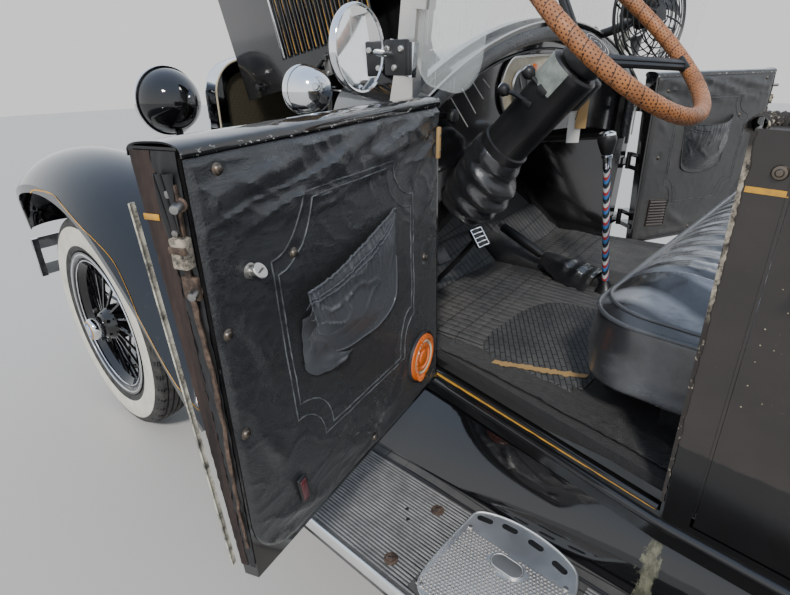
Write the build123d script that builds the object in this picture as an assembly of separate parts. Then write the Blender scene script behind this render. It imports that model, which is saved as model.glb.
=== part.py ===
from build123d import *
import os
from math import atan2, cos, degrees, hypot, pi, radians, sin, sqrt

os.makedirs("parts", exist_ok=True)

# All sizes are in millimetres. +X is forward, +Y is the car's left side, +Z is up.
# The origin is on the ground, below the middle of the car.

# Running gear
wheelbase = 2629
front_axle_x = 1380
rear_axle_x = front_axle_x - wheelbase
half_track = 712
tyre_r = 368
tyre_half_width = 59
rim_r = 252
rim_half_width = 52
hub_bore_r = 20.05
spindle_r = 20
kingpin_y = 600
kingpin_r = 12
kingpin_clearance = 0.08
tie_rod_back = 150
tie_rod_z = 285
drum_r = 148

rear_spring_x = rear_axle_x - 150

# Gearbox, whose tail takes the torque tube
gearbox_back = 345
gearbox_low = 370

# Frame
rail_y = 400
rail_width = 46
rail_top = 560
rail_height = 100
rail_front = 1540
rail_back = -1600
sheet = 4

# Body shell
wall = 52
belt_z = 1115
body_bottom = 520
belt_to_sill = 532
sill_inset = 40
sill_wall = 20
body_taper = degrees(atan2(sill_inset, belt_to_sill))
inner_taper = degrees(atan2(sill_inset + sill_wall - wall, belt_to_sill))
sill_z = 575
door_bottom = 583
floor_top = 610
floor_thick = 20
cowl_back = 230
cowl_front = 600
dash_face = 263
hinge_x = 226
hinge_y = 563
pillar_front = -296
pillar_back = -340
rear_door_back = -835
body_back = -1500
gap = 8
rear_arch_r = 565

# Cross sections of the front end: half width, crown height, crown radius, corner radius
cowl_back_section = (552, 1245, 1000, 60)
cowl_front_section = (392, 1180, 1000, 110)
radiator_section = (250, 1184, 600, 110)

# Radiator and hood
radiator_back = 1343
radiator_depth = 68
radiator_bottom = 600
hood_side_height = 345
hood_side_back_height = 320
hood_gap = 6
hood_sheet = 3
hinge_rod_r = 4
hood_top_raise = 70
hood_side_fold = 76
louvre_count = 13
louvre_first_x = 1053
louvre_last_x = 640
louvre_length = 225
louvre_top = 34
louvre_width = 20
louvre_height = 7

# Doors: how far each one stands open
left_door_open = 68
right_door_open = 55

# Fenders and running boards
fender_sheet = 4
fender_outer = 850
board_top = 396
board_thick = 30
board_inner = 605
board_front = 560
board_back = -700

# Windshield
post_x = 290
post_y = 484
post_foot = 1096
shield_top = 1650
shield_lean = 7
shield_half = 458
wing_width = 170
wing_splay = 15.5

# The folded top, resting on the body's edge
boot_across = 128
boot_z = belt_z + boot_across / 2 + 0.3

# Seats
seat_base = 685
rear_seat_base = 690

# Steering
steer_hub = Vector(-17, 320, 1220)
steer_rake = 48
steer_r = 195
steer_grip_r = 15
steer_hub_r = 36
steer_dish = 56
column_r = 46

# Ends of the car
bumper_front = 2080
bumper_half = 755
bumper_bar_z = (500, 390)
bumper_bar_height = 48


def block(x0, x1, y0, y1, z0, z1):
    size = Box(abs(x1 - x0), abs(y1 - y0), abs(z1 - z0))
    return Pos((x0 + x1) / 2, (y0 + y1) / 2, (z0 + z1) / 2) * size


def rod(start, end, radius):
    start, end = Vector(*start), Vector(*end)
    along = end - start
    middle = start + along * 0.5
    return Plane(origin=middle, z_dir=along.normalized()) * Cylinder(radius, along.length)


def cone(start, end, start_r, end_r):
    start, end = Vector(*start), Vector(*end)
    along = end - start
    middle = start + along * 0.5
    return Plane(origin=middle, z_dir=along.normalized()) * Cone(start_r, end_r, along.length)


def both_sides(shape):
    return [shape, mirror(shape, about=Plane.XZ)]


def fused(first, *others):
    result = first
    for shape in others:
        result = result + shape
    return result


def save(node, *shapes):
    solids = []
    for shape in shapes:
        solids += list(shape.solids())
    whole = solids[0] if len(solids) == 1 else Compound(children=solids)
    export_step(whole, f"parts/{node}.step")
    print(f"{node}: {len(solids)} solid(s), {sum(s.volume for s in solids) / 1e6:.2f} litres")


def turned(shape, origin, direction, angle):
    return shape.rotate(Axis(origin, direction), angle)


# ---- Body shell ----

def belt_outline():
    side = [(760, 461.7), (225, 552), (pillar_front, 640), (rear_door_back, 668), (-1190, 652)]
    left = [Line(a, b) for a, b in zip(side, side[1:])]
    left.append(ThreePointArc(side[-1], (-1415, 560), (body_back, 330)))
    right = [mirror(edge, about=Plane.XZ) for edge in left]
    nose = Line((760, 461.7), (760, -461.7))
    tail = Line((body_back, 330), (body_back, -330))
    return make_face(left + right + [nose, tail])


def body_block(inset, taper):
    outline = belt_outline()
    if inset:
        outline = offset(outline, amount=-inset, kind=Kind.INTERSECTION)
    top = Pos(0, 0, belt_z) * outline
    block_down = extrude(top, amount=belt_z - body_bottom, dir=(0, 0, -1), taper=taper)
    return block_down & block(-1700, cowl_back, -800, 800, body_bottom, belt_z)


outer_body = body_block(0, body_taper)
inner_body = body_block(wall, inner_taper)
seat_space = body_block(wall + 7, inner_taper)
body_shell = outer_body - inner_body


def rear_door_cut(margin):
    hole = block(rear_door_back - margin, pillar_back + margin, 0, 900, door_bottom - margin, belt_z + 50)
    arch = rod((rear_axle_x, 0, tyre_r), (rear_axle_x, 900, tyre_r), rear_arch_r - margin)
    return hole - arch


def front_door_cut(margin):
    front = hinge_x - 4 if margin == 0 else cowl_back + 1
    return block(pillar_front + 4 - margin, front, 0, 900, door_bottom - margin, belt_z + 50)


front_hinge_heights = (660, 850, 1030)
rear_hinge_x = rear_door_back - 4
rear_hinge_y = 679
rear_hinge_heights = (820, 1030)


def front_hinge_parts():
    fixed, moving = [], []
    for height in front_hinge_heights:
        inset = (belt_z - height) * sill_inset / belt_to_sill
        barrel = Pos(hinge_x, hinge_y, height) * Cylinder(8, 26)
        leaf = block(hinge_x, hinge_x + 28, hinge_y - 30 - inset, hinge_y, height - 13, height + 13)
        fixed.append(barrel + leaf)
        for offset_z in (-20.3, 20.3):
            z = height + offset_z
            barrel = Pos(hinge_x, hinge_y, z) * Cylinder(8, 14)
            leaf = block(hinge_x, hinge_x - 30, hinge_y - 30 - inset, hinge_y, z - 7, z + 7)
            moving.append(barrel + leaf)
    return fixed, moving


def rear_hinge_parts():
    fixed, moving = [], []
    for height in rear_hinge_heights:
        inset = (belt_z - height) * sill_inset / belt_to_sill
        barrel = Pos(rear_hinge_x, rear_hinge_y, height) * Cylinder(8, 26)
        leaf = block(rear_hinge_x, rear_hinge_x - 30, rear_hinge_y - 32 - inset, rear_hinge_y,
                     height - 13, height + 13)
        fixed.append(barrel + leaf)
        for offset_z in (-20.3, 20.3):
            z = height + offset_z
            barrel = Pos(rear_hinge_x, rear_hinge_y, z) * Cylinder(8, 14)
            leaf = block(rear_hinge_x, rear_hinge_x + 30, rear_hinge_y - 32 - inset, rear_hinge_y,
                         z - 7, z + 7)
            moving.append(barrel + leaf)
    return fixed, moving


def door_handle(x, y, z, reach):
    stem = rod((x, y - 12, z), (x, y + 34, z), 7)
    grip = rod((x - 12 * reach, y + 34, z), (x + 88 * reach, y + 34, z), 8)
    return stem + grip


def front_door():
    slab = body_shell & front_door_cut(0)
    for part in front_hinge_parts()[1]:
        slab += part
    return slab + door_handle(pillar_front + 60, 622, 985, 1)


def rear_door():
    slab = body_shell & rear_door_cut(0)
    for part in rear_hinge_parts()[1]:
        slab += part
    return slab + door_handle(pillar_back - 60, 632, 985, -1)


def body_tub():
    tub = body_shell
    for cut in (front_door_cut(4), rear_door_cut(4)):
        tub = tub - cut - mirror(cut, about=Plane.XZ)
    # the back of the shell rests on the frame rails
    tub = tub - block(-1620, -1300, -rail_y - 4, rail_y + 4, body_bottom - 1, rail_top)
    for part in rear_hinge_parts()[0]:
        tub = tub + part + mirror(part, about=Plane.XZ)
    return tub


def floor():
    plate = inner_body & block(-1500, cowl_back, -700, 700, floor_top - floor_thick, floor_top)
    beside_door = block(pillar_front, cowl_back + 1, -700, 700, 0, floor_top + 1) - seat_space
    plate = plate - beside_door
    front_riser = block(-470, -235, -440, 440, floor_top, seat_base)
    rear_riser = block(-1380, -1040, -600, 600, floor_top, rear_seat_base) & seat_space
    return plate + front_riser + rear_riser


# ---- Front end ----

def section_points(section):
    half, crown_z, crown_r, corner_r = section
    centre_z = crown_z - crown_r
    rise = sqrt((crown_r - corner_r) ** 2 - (half - corner_r) ** 2)
    shoulder_z = centre_z + rise
    lean = atan2(half - corner_r, rise)
    tangent = (crown_r * sin(lean), centre_z + crown_r * cos(lean))
    mid_lean = (lean + pi / 2) / 2
    corner_mid = (half - corner_r + corner_r * sin(mid_lean), shoulder_z + corner_r * cos(mid_lean))
    return shoulder_z, tangent, corner_mid


def crown_height(section, y):
    half, crown_z, crown_r, corner_r = section
    return crown_z - crown_r + sqrt(crown_r ** 2 - y ** 2)


def arch_face(section, x, bottom_z, bottom_half, grow=0):
    half, crown_z, crown_r, corner_r = section
    section = (half + grow, crown_z + grow, crown_r + grow, corner_r + grow)
    shoulder_z, tangent, corner_mid = section_points(section)
    half, crown_z = section[0], section[1]

    def at(y, z):
        return (x, y, z)

    edges = [
        Line(at(-bottom_half, bottom_z), at(bottom_half, bottom_z)),
        Line(at(bottom_half, bottom_z), at(half, shoulder_z)),
        ThreePointArc(at(half, shoulder_z), at(*corner_mid), at(*tangent)),
        ThreePointArc(at(*tangent), at(0, crown_z), at(-tangent[0], tangent[1])),
        ThreePointArc(at(-tangent[0], tangent[1]), at(-corner_mid[0], corner_mid[1]), at(-half, shoulder_z)),
        Line(at(-half, shoulder_z), at(-bottom_half, bottom_z)),
    ]
    return make_face(edges)


def foot_well():
    well_back = arch_face((500, 1000, 2600, 30), cowl_back - 1, body_bottom - 1, 440)
    well_front = arch_face((372, 960, 1600, 30), cowl_front - 34, body_bottom + 20, 368)
    return loft([well_back, well_front], ruled=True)


def cowl():
    lower_back = 552 - (belt_z - body_bottom) * sill_inset / belt_to_sill
    back = arch_face(cowl_back_section, cowl_back, body_bottom, lower_back)
    front = arch_face(cowl_front_section, cowl_front, rail_top, 384)
    shell = loft([back, front], ruled=True)
    # the foot well below the tank is open to the cabin
    shell = shell - foot_well()
    # the dash face stands back from the rolled rear edge
    recess = arch_face(cowl_back_section, cowl_back - 1, 930, 520, grow=-26)
    shell = shell - extrude(recess, amount=dash_face - cowl_back + 1, dir=(1, 0, 0))
    shell = shell - block(200, 620, -rail_y - 4, rail_y + 4, 500, rail_top)
    for part in front_hinge_parts()[0]:
        shell = shell + part + mirror(part, about=Plane.XZ)
    for ear in cowl_ears():
        shell = shell + ear
    return shell


def toe_board():
    # the boards that slope from the floor up to the firewall
    back, bend, front = cowl_back, 380, cowl_front - 34
    low = floor_top - floor_thick
    profile = make_face(Polyline((back, 0, low), (bend, 0, low), (front, 0, 740), (front, 0, 764),
                                 (bend - 6, 0, floor_top), (back, 0, floor_top), close=True))
    return extrude(profile, amount=600, both=True, dir=(0, 1, 0)) & foot_well()


def radiator_shell():
    outer = arch_face(radiator_section, radiator_back, radiator_bottom, 248)
    body = extrude(outer, amount=radiator_depth, dir=(1, 0, 0))
    opening = arch_face(radiator_section, radiator_back - 1, radiator_bottom + 45, 210, grow=-38)
    body = body - extrude(opening, amount=radiator_depth + 2, dir=(1, 0, 0))
    cap_x = radiator_back + radiator_depth / 2
    neck = rod((cap_x, 0, 1174), (cap_x, 0, 1208), 26)
    cap = rod((cap_x, 0, 1208), (cap_x, 0, 1228), 38)
    return body + neck + cap


def radiator_core():
    core = arch_face(radiator_section, radiator_back + 12, radiator_bottom + 45, 210, grow=-38)
    return extrude(core, amount=56, dir=(1, 0, 0))


def blend_section(x):
    # the hood tapers straight from the cowl's front edge to the radiator
    share = (x - cowl_front) / (radiator_back - cowl_front)
    return tuple(a + (b - a) * share for a, b in zip(cowl_front_section, radiator_section))


# the shut line leans forward below the side hinge by the hood's own taper, so that the folding side clears the cowl
shut_slant = (cowl_front_section[0] - radiator_section[0]) / (radiator_back - cowl_front)


def shut_wedge(gap, reach):
    # what lies behind the slanted shut line
    top_z = section_points(cowl_front_section)[0]
    low_z = top_z - 600
    outline = make_face(Polyline((cowl_front + gap, 0, top_z), (cowl_front + gap + 600 * shut_slant, 0, low_z),
                                 (cowl_front - reach, 0, low_z), (cowl_front - reach, 0, top_z), close=True))
    return extrude(outline, amount=700, both=True, dir=(0, 1, 0))


def cowl_ears():
    # the cowl's side sheets reach forward to the shut line
    half, shoulder_z = cowl_front_section[0], section_points(cowl_front_section)[0]
    ahead = 100
    outline = make_face(Polyline((cowl_front - 8, half), (cowl_front + ahead, half - ahead * shut_slant),
                                 (cowl_front + ahead, half - ahead * shut_slant - sheet),
                                 (cowl_front - 8, half - sheet - 8), close=True))
    plate = extrude(Pos(0, 0, rail_top + 10) * outline, amount=shoulder_z - rail_top - 18)
    return both_sides(plate & shut_wedge(0, 60))


hood_front_x = radiator_back - hood_gap
hood_back_x = cowl_front + hood_gap
front_hood_section = blend_section(hood_front_x)
back_hood_section = blend_section(hood_back_x)


def hood_top_face(x, section):
    half, crown_z, crown_r, corner_r = section
    shoulder_z, tangent, corner_mid = section_points(section)
    centre_z = crown_z - crown_r
    edge_y = 12
    lean_tangent = atan2(tangent[0], tangent[1] - centre_z)
    lean_edge = edge_y / crown_r
    lean_stop = pi / 2 - 9 / corner_r

    def crown(lean, depth):
        return (x, (crown_r - depth) * sin(lean), centre_z + (crown_r - depth) * cos(lean))

    def corner(lean, depth):
        r = corner_r - depth
        return (x, half - corner_r + r * sin(lean), shoulder_z + r * cos(lean))

    mid_crown = (lean_edge + lean_tangent) / 2
    mid_corner = (lean_tangent + lean_stop) / 2
    edges = [
        ThreePointArc(crown(lean_edge, 0), crown(mid_crown, 0), crown(lean_tangent, 0)),
        ThreePointArc(crown(lean_tangent, 0), corner(mid_corner, 0), corner(lean_stop, 0)),
        Line(corner(lean_stop, 0), corner(lean_stop, hood_sheet)),
        ThreePointArc(corner(lean_stop, hood_sheet), corner(mid_corner, hood_sheet),
                      crown(lean_tangent, hood_sheet)),
        ThreePointArc(crown(lean_tangent, hood_sheet), crown(mid_crown, hood_sheet), crown(lean_edge, hood_sheet)),
        Line(crown(lean_edge, hood_sheet), crown(lean_edge, 0)),
    ]
    return make_face(edges)


def side_hinge_point(x, section):
    return Vector(x, section[0] - hood_sheet / 2, section_points(section)[0])


side_hinge_front = side_hinge_point(hood_front_x, front_hood_section)
side_hinge_back = side_hinge_point(hood_back_x, back_hood_section)
centre_hinge_front = Vector(radiator_back, 0, radiator_section[1] - hood_sheet / 2)
centre_hinge_back = Vector(cowl_front, 0, cowl_front_section[1] - hood_sheet / 2)


def sleeve(start, end, share, length, leaf):
    # a hinge sleeve round the rod that runs from start to end, with its leaf
    along = (end - start).normalized()
    middle = start + (end - start) * share
    tube = rod(middle - along * (length / 2), middle + along * (length / 2), hinge_rod_r + 3)
    x0, x1 = middle.X - length / 2, middle.X + length / 2
    low, high = leaf
    tube = tube + block(x0, x1, middle.Y + low[0], middle.Y + high[0], middle.Z + low[1], middle.Z + high[1])
    return tube - rod(start - along * 5, end + along * 5, hinge_rod_r + 0.3)


def hood_top_closed(sleeve_shares):
    panel = loft([hood_top_face(hood_back_x, back_hood_section),
                  hood_top_face(hood_front_x, front_hood_section)], ruled=True)
    for share in sleeve_shares:
        panel = panel + sleeve(centre_hinge_back, centre_hinge_front, share, 40, ((3, -1.4), (16, 1.2)))
    side_rod = rod(side_hinge_front, side_hinge_back, hinge_rod_r)
    strip = []
    for share in (0.08, 0.36, 0.64, 0.92):
        foot = side_hinge_back + (side_hinge_front - side_hinge_back) * share
        strip.append(block(foot.X - 30, foot.X + 30, foot.Y - 1.5, foot.Y + 1.5, foot.Z, foot.Z + 12))
    return fused(panel, side_rod, *strip)


def hood_side_face(point, height):
    # a flat panel below the side hinge
    x, y, z = point.X, point.Y, point.Z
    half = hood_sheet / 2
    top, foot = z - 9, z - height
    return make_face(Polyline((x, y - half, top), (x, y + half, top), (x, y + half, foot), (x, y - half, foot),
                              close=True))


def side_frame():
    # a plane on the outer face of the side panel: x runs back along it, y up, z outward
    along = side_hinge_back - side_hinge_front
    outward = Vector(-along.Y, along.X, 0).normalized() * -1
    return Plane(origin=side_hinge_front, x_dir=along.normalized(), z_dir=outward)


def hood_side_closed():
    panel = loft([hood_side_face(side_hinge_back, hood_side_back_height),
                  hood_side_face(side_hinge_front, hood_side_height)], ruled=True)
    panel = panel - shut_wedge(hood_gap, 100)
    frame = side_frame()
    length = (side_hinge_back - side_hinge_front).length
    for share in (0.22, 0.5, 0.78):
        panel = panel + sleeve(side_hinge_back, side_hinge_front, share, 40, ((-4, -14), (4, -3)))
    pitch = (louvre_first_x - louvre_last_x) / (louvre_count - 1)
    wedge = make_face(Polyline((0, 0), (louvre_width, 0), (louvre_width - 3, louvre_height), close=True))
    for number in range(louvre_count):
        along = (hood_front_x - louvre_first_x) + number * pitch
        raised = extrude(Plane.XZ * wedge, amount=louvre_length)
        place = frame * Pos(along, -louvre_top, hood_sheet / 2 - 0.5)
        panel = panel + place * raised
    for share in (0.16, 0.67):
        handle = Box(16, 26, 3) + Pos(0, 0, 12) * Box(46, 9, 9) + Pos(0, 0, 6) * Box(9, 9, 12)
        height = hood_side_height + (hood_side_back_height - hood_side_height) * share
        panel = panel + frame * Pos(length * share, 42 - height, hood_sheet / 2) * handle
    return panel


centre_axis = Axis(centre_hinge_back, centre_hinge_front - centre_hinge_back)
side_axis = Axis(side_hinge_back, side_hinge_front - side_hinge_back)


def hood_left_raised():
    top = hood_top_closed((0.12, 0.42, 0.72)).rotate(centre_axis, hood_top_raise)
    side = hood_side_closed().rotate(side_axis, -hood_side_fold).rotate(centre_axis, hood_top_raise)
    return top, side


def hood_hinge():
    along = (centre_hinge_front - centre_hinge_back).normalized() * 10
    strip = rod(centre_hinge_back - along, centre_hinge_front + along, hinge_rod_r)
    return strip & block(cowl_front, radiator_back, -20, 20, 1100, 1250)


# ---- Fenders ----

# x, z of the crown line, slope of the outward normal from straight up, outer y, inner y, crown drop
front_fender_stations = [
    # x, z, normal lean towards the front in degrees, outer y, inner y, outer drop, lip
    (1792, 640, 88, 806, 640, 40, 12),
    (1750, 780, 62, 826, 615, 58, 18),
    (1600, 885, 27, 845, 585, 74, 22),
    (1350, 935, 2, 850, 565, 80, 24),
    (1100, 900, -20, 850, 560, 76, 24),
    (900, 778, -38, 850, 560, 62, 22),
    (720, 598, -46, 850, 565, 48, 20),
    (board_front, 426, -50, 850, 575, 30, 16),
]

rear_fender_stations = [
    (board_back - 10, 426, 76, 850, 600, 26, 14),
    (-790, 600, 62, 850, 590, 50, 18),
    (-910, 765, 44, 850, 580, 64, 20),
    (-1100, 880, 18, 850, 575, 72, 22),
    (-1300, 900, -6, 850, 575, 72, 22),
    (-1500, 840, -30, 846, 575, 66, 20),
    (-1650, 710, -54, 836, 580, 54, 18),
    (-1715, 560, -76, 820, 590, 40, 14),
]


def fender_face(station, valance_z):
    x, z, lean, outer, inner, drop, lip = station
    up = (sin(radians(lean)), cos(radians(lean)))
    crown_y = outer - 0.42 * (outer - inner)
    inner_drop = drop * 0.45

    def at(y, h):
        return (x + up[0] * h, y, z + up[1] * h)

    t = fender_sheet
    edges = [
        Line(at(outer, -drop - lip), at(outer, -drop)),
        ThreePointArc(at(outer, -drop), at(crown_y, 0), at(inner, -inner_drop)),
        Line(at(inner, -inner_drop), at(inner, -inner_drop - t)),
        ThreePointArc(at(inner, -inner_drop - t), at(crown_y, -t), at(outer - t, -drop - 1)),
        Line(at(outer - t, -drop - 1), at(outer - t, -drop - lip)),
        Line(at(outer - t, -drop - lip), at(outer, -drop - lip)),
    ]
    return make_face(edges)


def fender(stations, valance_z):
    return loft([fender_face(s, valance_z) for s in stations])


def front_apron():
    # the panel that joins the fender's inner edge to the frame rail
    sections = []
    for x, top in ((1560, 840), (1400, 880), (1200, 880), (1000, 810), (860, 700)):
        face = make_face(Polyline((x, 568, top), (x, 564, top), (x, rail_y, rail_top - 3), (x, rail_y + 4, rail_top - 3),
                                  close=True))
        sections.append(face)
    return loft(sections, ruled=True)


# ---- Running boards ----

def running_board():
    slab = block(board_back, board_front, board_inner, fender_outer, board_top - board_thick, board_top)
    under = block(board_back - 1, board_front + 1, board_inner + 3, fender_outer - 3,
                  board_top - board_thick - 1, board_top - 3)
    shell = slab - under
    for x in (-560, -150, 380):
        shell = shell + block(x - 25, x + 25, rail_y, fender_outer - 10, board_top - 12, board_top - 3)
    return shell


def splash_apron():
    # x, y of the apron's top edge under the sill
    stations = [(board_front, 450), (hinge_x, 470), (pillar_front, 555), (board_back, 578)]
    shift_y, shift_z = 4, 3
    sections = []
    for x, top_y in stations:
        foot = (board_inner, board_top)
        top = (top_y, body_bottom)
        across, up = top[0] - foot[0], top[1] - foot[1]
        length = hypot(across, up)
        bulge = 14 / length
        mid = ((foot[0] + top[0]) / 2 + up * bulge, (foot[1] + top[1]) / 2 - across * bulge)
        outer = [(x, y, z) for y, z in (foot, mid, top)]
        inner = [(x, y - shift_y, z - shift_z) for y, z in (foot, mid, top)]
        sections.append(make_face([
            ThreePointArc(*outer),
            Line(outer[2], inner[2]),
            ThreePointArc(*reversed(inner)),
            Line(inner[0], outer[0]),
        ]))
    return loft(sections, ruled=True)


def step_plate():
    return block(-225, -20, 640, 830, board_top, board_top + 5)


# ---- Windshield, wings, mirror ----

def windshield_outline(inset):
    foot = crown_height(cowl_back_section, shield_half) - 14
    mid = crown_height(cowl_back_section, 0) - 14
    half = shield_half - inset
    low = foot + inset
    return make_face([
        Line((0, half, low), (0, half, shield_top - inset)),
        Line((0, half, shield_top - inset), (0, -half, shield_top - inset)),
        Line((0, -half, shield_top - inset), (0, -half, low)),
        ThreePointArc((0, -half, low), (0, 0, mid + inset), (0, half, low)),
    ])


def leaned(shape):
    return Pos(post_x, 0, 0) * shape.rotate(Axis((0, 0, post_foot), (0, 1, 0)), -shield_lean)


def windshield_frame():
    ring = extrude(windshield_outline(0), amount=8, both=True, dir=(1, 0, 0))
    ring = ring - extrude(windshield_outline(22), amount=20, both=True, dir=(1, 0, 0))
    frame = leaned(ring)
    height = shield_top - post_foot
    outline = make_face(Polyline((-28, 0), (28, 0), (19, 80), (14, height), (-14, height), (-19, 80), close=True))
    post = Pos(0, post_y + 12, post_foot) * extrude(Plane.XZ * outline, amount=24)
    for z in (1300, 1590):
        post = post + block(-8, 8, shield_half - 2, post_y - 10, z, z + 26)
        post = post + block(-42, -10, post_y - 9, post_y + 18, z - 46, z - 24)
    for part in both_sides(leaned(post)):
        frame = frame + part
    for part in wind_wings() + [cowl()]:
        frame = frame - part
    return frame


def wind_wings():
    # each wing pane stands out from its post towards the rear
    near, far, foot, low = -24, -24 - wing_width, 1140, 1198
    outline = make_face([
        Line((near, 1600), (near, low)),
        ThreePointArc((near, low), (near - 17, low - 40), (near - 58, foot)),
        Line((near - 58, foot), (far + 55, foot)),
        ThreePointArc((far + 55, foot), (far + 15, foot + 20), (far, low)),
        Line((far, low), (far, 1600)),
        Line((far, 1600), (near, 1600)),
    ])
    pane = Pos(0, 2.5, 0) * extrude(Plane.XZ * outline, amount=5)
    pane = Pos(0, post_y, 0) * Rot(0, 0, -wing_splay) * pane
    return both_sides(leaned(pane))


def windshield_pane():
    return leaned(extrude(windshield_outline(22), amount=3, both=True, dir=(1, 0, 0))) - cowl()


mirror_centre = Vector(300, 596, 1190)
mirror_r = 68


def side_mirror():
    look = Vector(-0.988, -0.155, 0.03).normalized()
    face = Plane(origin=mirror_centre, z_dir=look)
    disc = face * Cone(mirror_r - 14, mirror_r, 18)
    arm = rod(mirror_centre - look * 6, Vector(post_x + 4, post_y + 18, 1180), 6)
    clamp = block(post_x - 30, post_x + 26, post_y + 12, post_y + 24, 1148, 1204)
    return disc + arm + leaned(Pos(-post_x, 0, 0) * clamp) - windshield_frame()


# ---- Lamps and bumpers ----

lamp_centre = Vector(1535, 333, 1036)
lamp_r = 114


def lamp_bowl(centre, radius, depth):
    profile = make_face([
        Line((0, 0), (0, radius)),
        Line((0, radius), (-14, radius)),
        Line((-14, radius), (-14, radius - 5)),
        ThreePointArc((-14, radius - 5), (-depth * 0.62, radius * 0.72), (-depth, 0)),
        Line((-depth, 0), (0, 0)),
    ])
    bowl = revolve(profile, Axis.X)
    return Pos(centre.X, centre.Y, centre.Z) * bowl


def headlamps():
    bar_x, bar_z, stay_y = lamp_centre.X - 50, 880, 376
    whole = rod((bar_x, -stay_y, bar_z), (bar_x, stay_y, bar_z), 13)
    for side in (1, -1):
        y = lamp_centre.Y * side
        bowl = lamp_bowl(Vector(lamp_centre.X, y, lamp_centre.Z), lamp_r, 135)
        post = rod((bar_x, y, bar_z), (bar_x, y, lamp_centre.Z - 60), 14)
        stay = rod((bar_x, side * stay_y, bar_z), (bar_x, side * stay_y, rail_top), 12)
        whole = whole + bowl + post + stay
    return whole


def headlamp_lenses():
    lenses = []
    for side in (1, -1):
        place = Pos(lamp_centre.X + 3, lamp_centre.Y * side, lamp_centre.Z)
        lenses.append(place * Rot(0, 90, 0) * Cylinder(lamp_r - 8, 6))
    return lenses


def cowl_lamps():
    lamps = []
    for side in (1, -1):
        bowl = lamp_bowl(Vector(532, side * 535, 1120), 46, 84)
        stalk = rod((505, side * 535, 1115), (500, side * 405, 1040), 8)
        lamps.append(bowl + stalk - cowl())
    return lamps


def bumper_bar(x, half, z, height, bow):
    thick = 9
    outline = make_face([
        ThreePointArc((x - bow, half), (x, 0), (x - bow, -half)),
        Line((x - bow, -half), (x - bow - thick, -half)),
        ThreePointArc((x - bow - thick, -half), (x - thick, 0), (x - bow - thick, half)),
        Line((x - bow - thick, half), (x - bow, half)),
    ])
    return extrude(Pos(0, 0, z - height / 2) * outline, amount=height)


def front_bumper():
    whole = None
    for z in bumper_bar_z:
        bar = bumper_bar(bumper_front, bumper_half, z, bumper_bar_height, 34)
        whole = bar if whole is None else whole + bar
    low, high = bumper_bar_z[1] - 24, bumper_bar_z[0] + 24
    for y in (-bumper_half + 12, 10 - rail_y, rail_y - 10, bumper_half - 12):
        x = bumper_front - 34 * (y / bumper_half) ** 2
        whole = whole + block(x - 22, x - 4, y - 11, y + 11, low, high)
    for side in (1, -1):
        y = side * (rail_y - sheet - 6)
        whole = whole + block(rail_front - 90, bumper_front - 20, y - 6, y + 6, 470, 515)
    return whole


def rear_bumper():
    whole = None
    for side in (1, -1):
        for z in bumper_bar_z:
            bar = Rot(0, 0, 180) * bumper_bar(bumper_front, bumper_half, z, bumper_bar_height, 34)
            low, high = (300, 800) if side > 0 else (-800, -300)
            bar = bar & block(-2200, -1900, low, high, 0, 800)
            whole = bar if whole is None else whole + bar
        low, high = bumper_bar_z[1] - 24, bumper_bar_z[0] + 24
        for y in (bumper_half - 12, rail_y - 10):
            x = -bumper_front + 34 * (y / bumper_half) ** 2
            whole = whole + block(x + 4, x + 22, side * y - 11, side * y + 11, low, high)
        y = side * (rail_y - sheet - 6)
        whole = whole + block(-bumper_front + 14, rail_back + 8, y - 6, y + 6, 480, 515)
    return whole


# ---- Frame, axles, springs ----

def chassis_frame():
    rail = block(rail_back, rail_front, rail_y - rail_width, rail_y, rail_top - rail_height, rail_top)
    rail = rail - block(rail_back - 1, rail_front + 1, rail_y - rail_width - 1, rail_y - sheet,
                        rail_top - rail_height + sheet, rail_top - sheet)
    whole = rail + mirror(rail, about=Plane.XZ)
    inner = rail_y - sheet
    for x, low in ((front_axle_x, 500), (292, 520), (rear_spring_x, 500), (rail_back + 40, 480)):
        whole = whole + block(x - 32, x + 32, -inner, inner, low, rail_top - sheet)
    return whole


def leaf_spring(x):
    ends, crown = 432, 500
    half = 430
    profile = make_face([
        ThreePointArc((x, -half, ends - 6), (x, 0, crown), (x, half, ends - 6)),
        Line((x, half, ends - 6), (x, half, ends - 14)),
        ThreePointArc((x, half, ends - 14), (x, 0, crown - 46), (x, -half, ends - 14)),
        Line((x, -half, ends - 14), (x, -half, ends - 6)),
    ])
    return extrude(profile, amount=22, both=True, dir=(1, 0, 0))


def front_axle():
    outline = make_face(Polyline((0, -585, 394), (0, -480, 394), (0, -400, 346), (0, 400, 346), (0, 480, 394),
                                 (0, 585, 394), (0, 585, 342), (0, 465, 342), (0, 385, 296), (0, -385, 296),
                                 (0, -465, 342), (0, -585, 342), close=True))
    beam = Pos(front_axle_x, 0, 0) * extrude(outline, amount=22, both=True, dir=(1, 0, 0))
    for side in (1, -1):
        y = side * kingpin_y
        boss = rod((front_axle_x, y, 332), (front_axle_x, y, 404), 27)
        beam = beam + boss
        beam = beam + rod((front_axle_x, side * 430, 380), (front_axle_x, side * 430, 418), 16)
        beam = beam + rod((front_axle_x - 10, side * 470, 350), (605, side * 20, 262), 13)
        beam = beam - rod((front_axle_x, y, 300), (front_axle_x, y, 440), kingpin_r + kingpin_clearance)
    beam = beam + rod((605, -40, 262), (605, 40, 262), 17)
    beam = beam + block(588, 602, -20, 20, 255, gearbox_low)
    return beam


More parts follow.
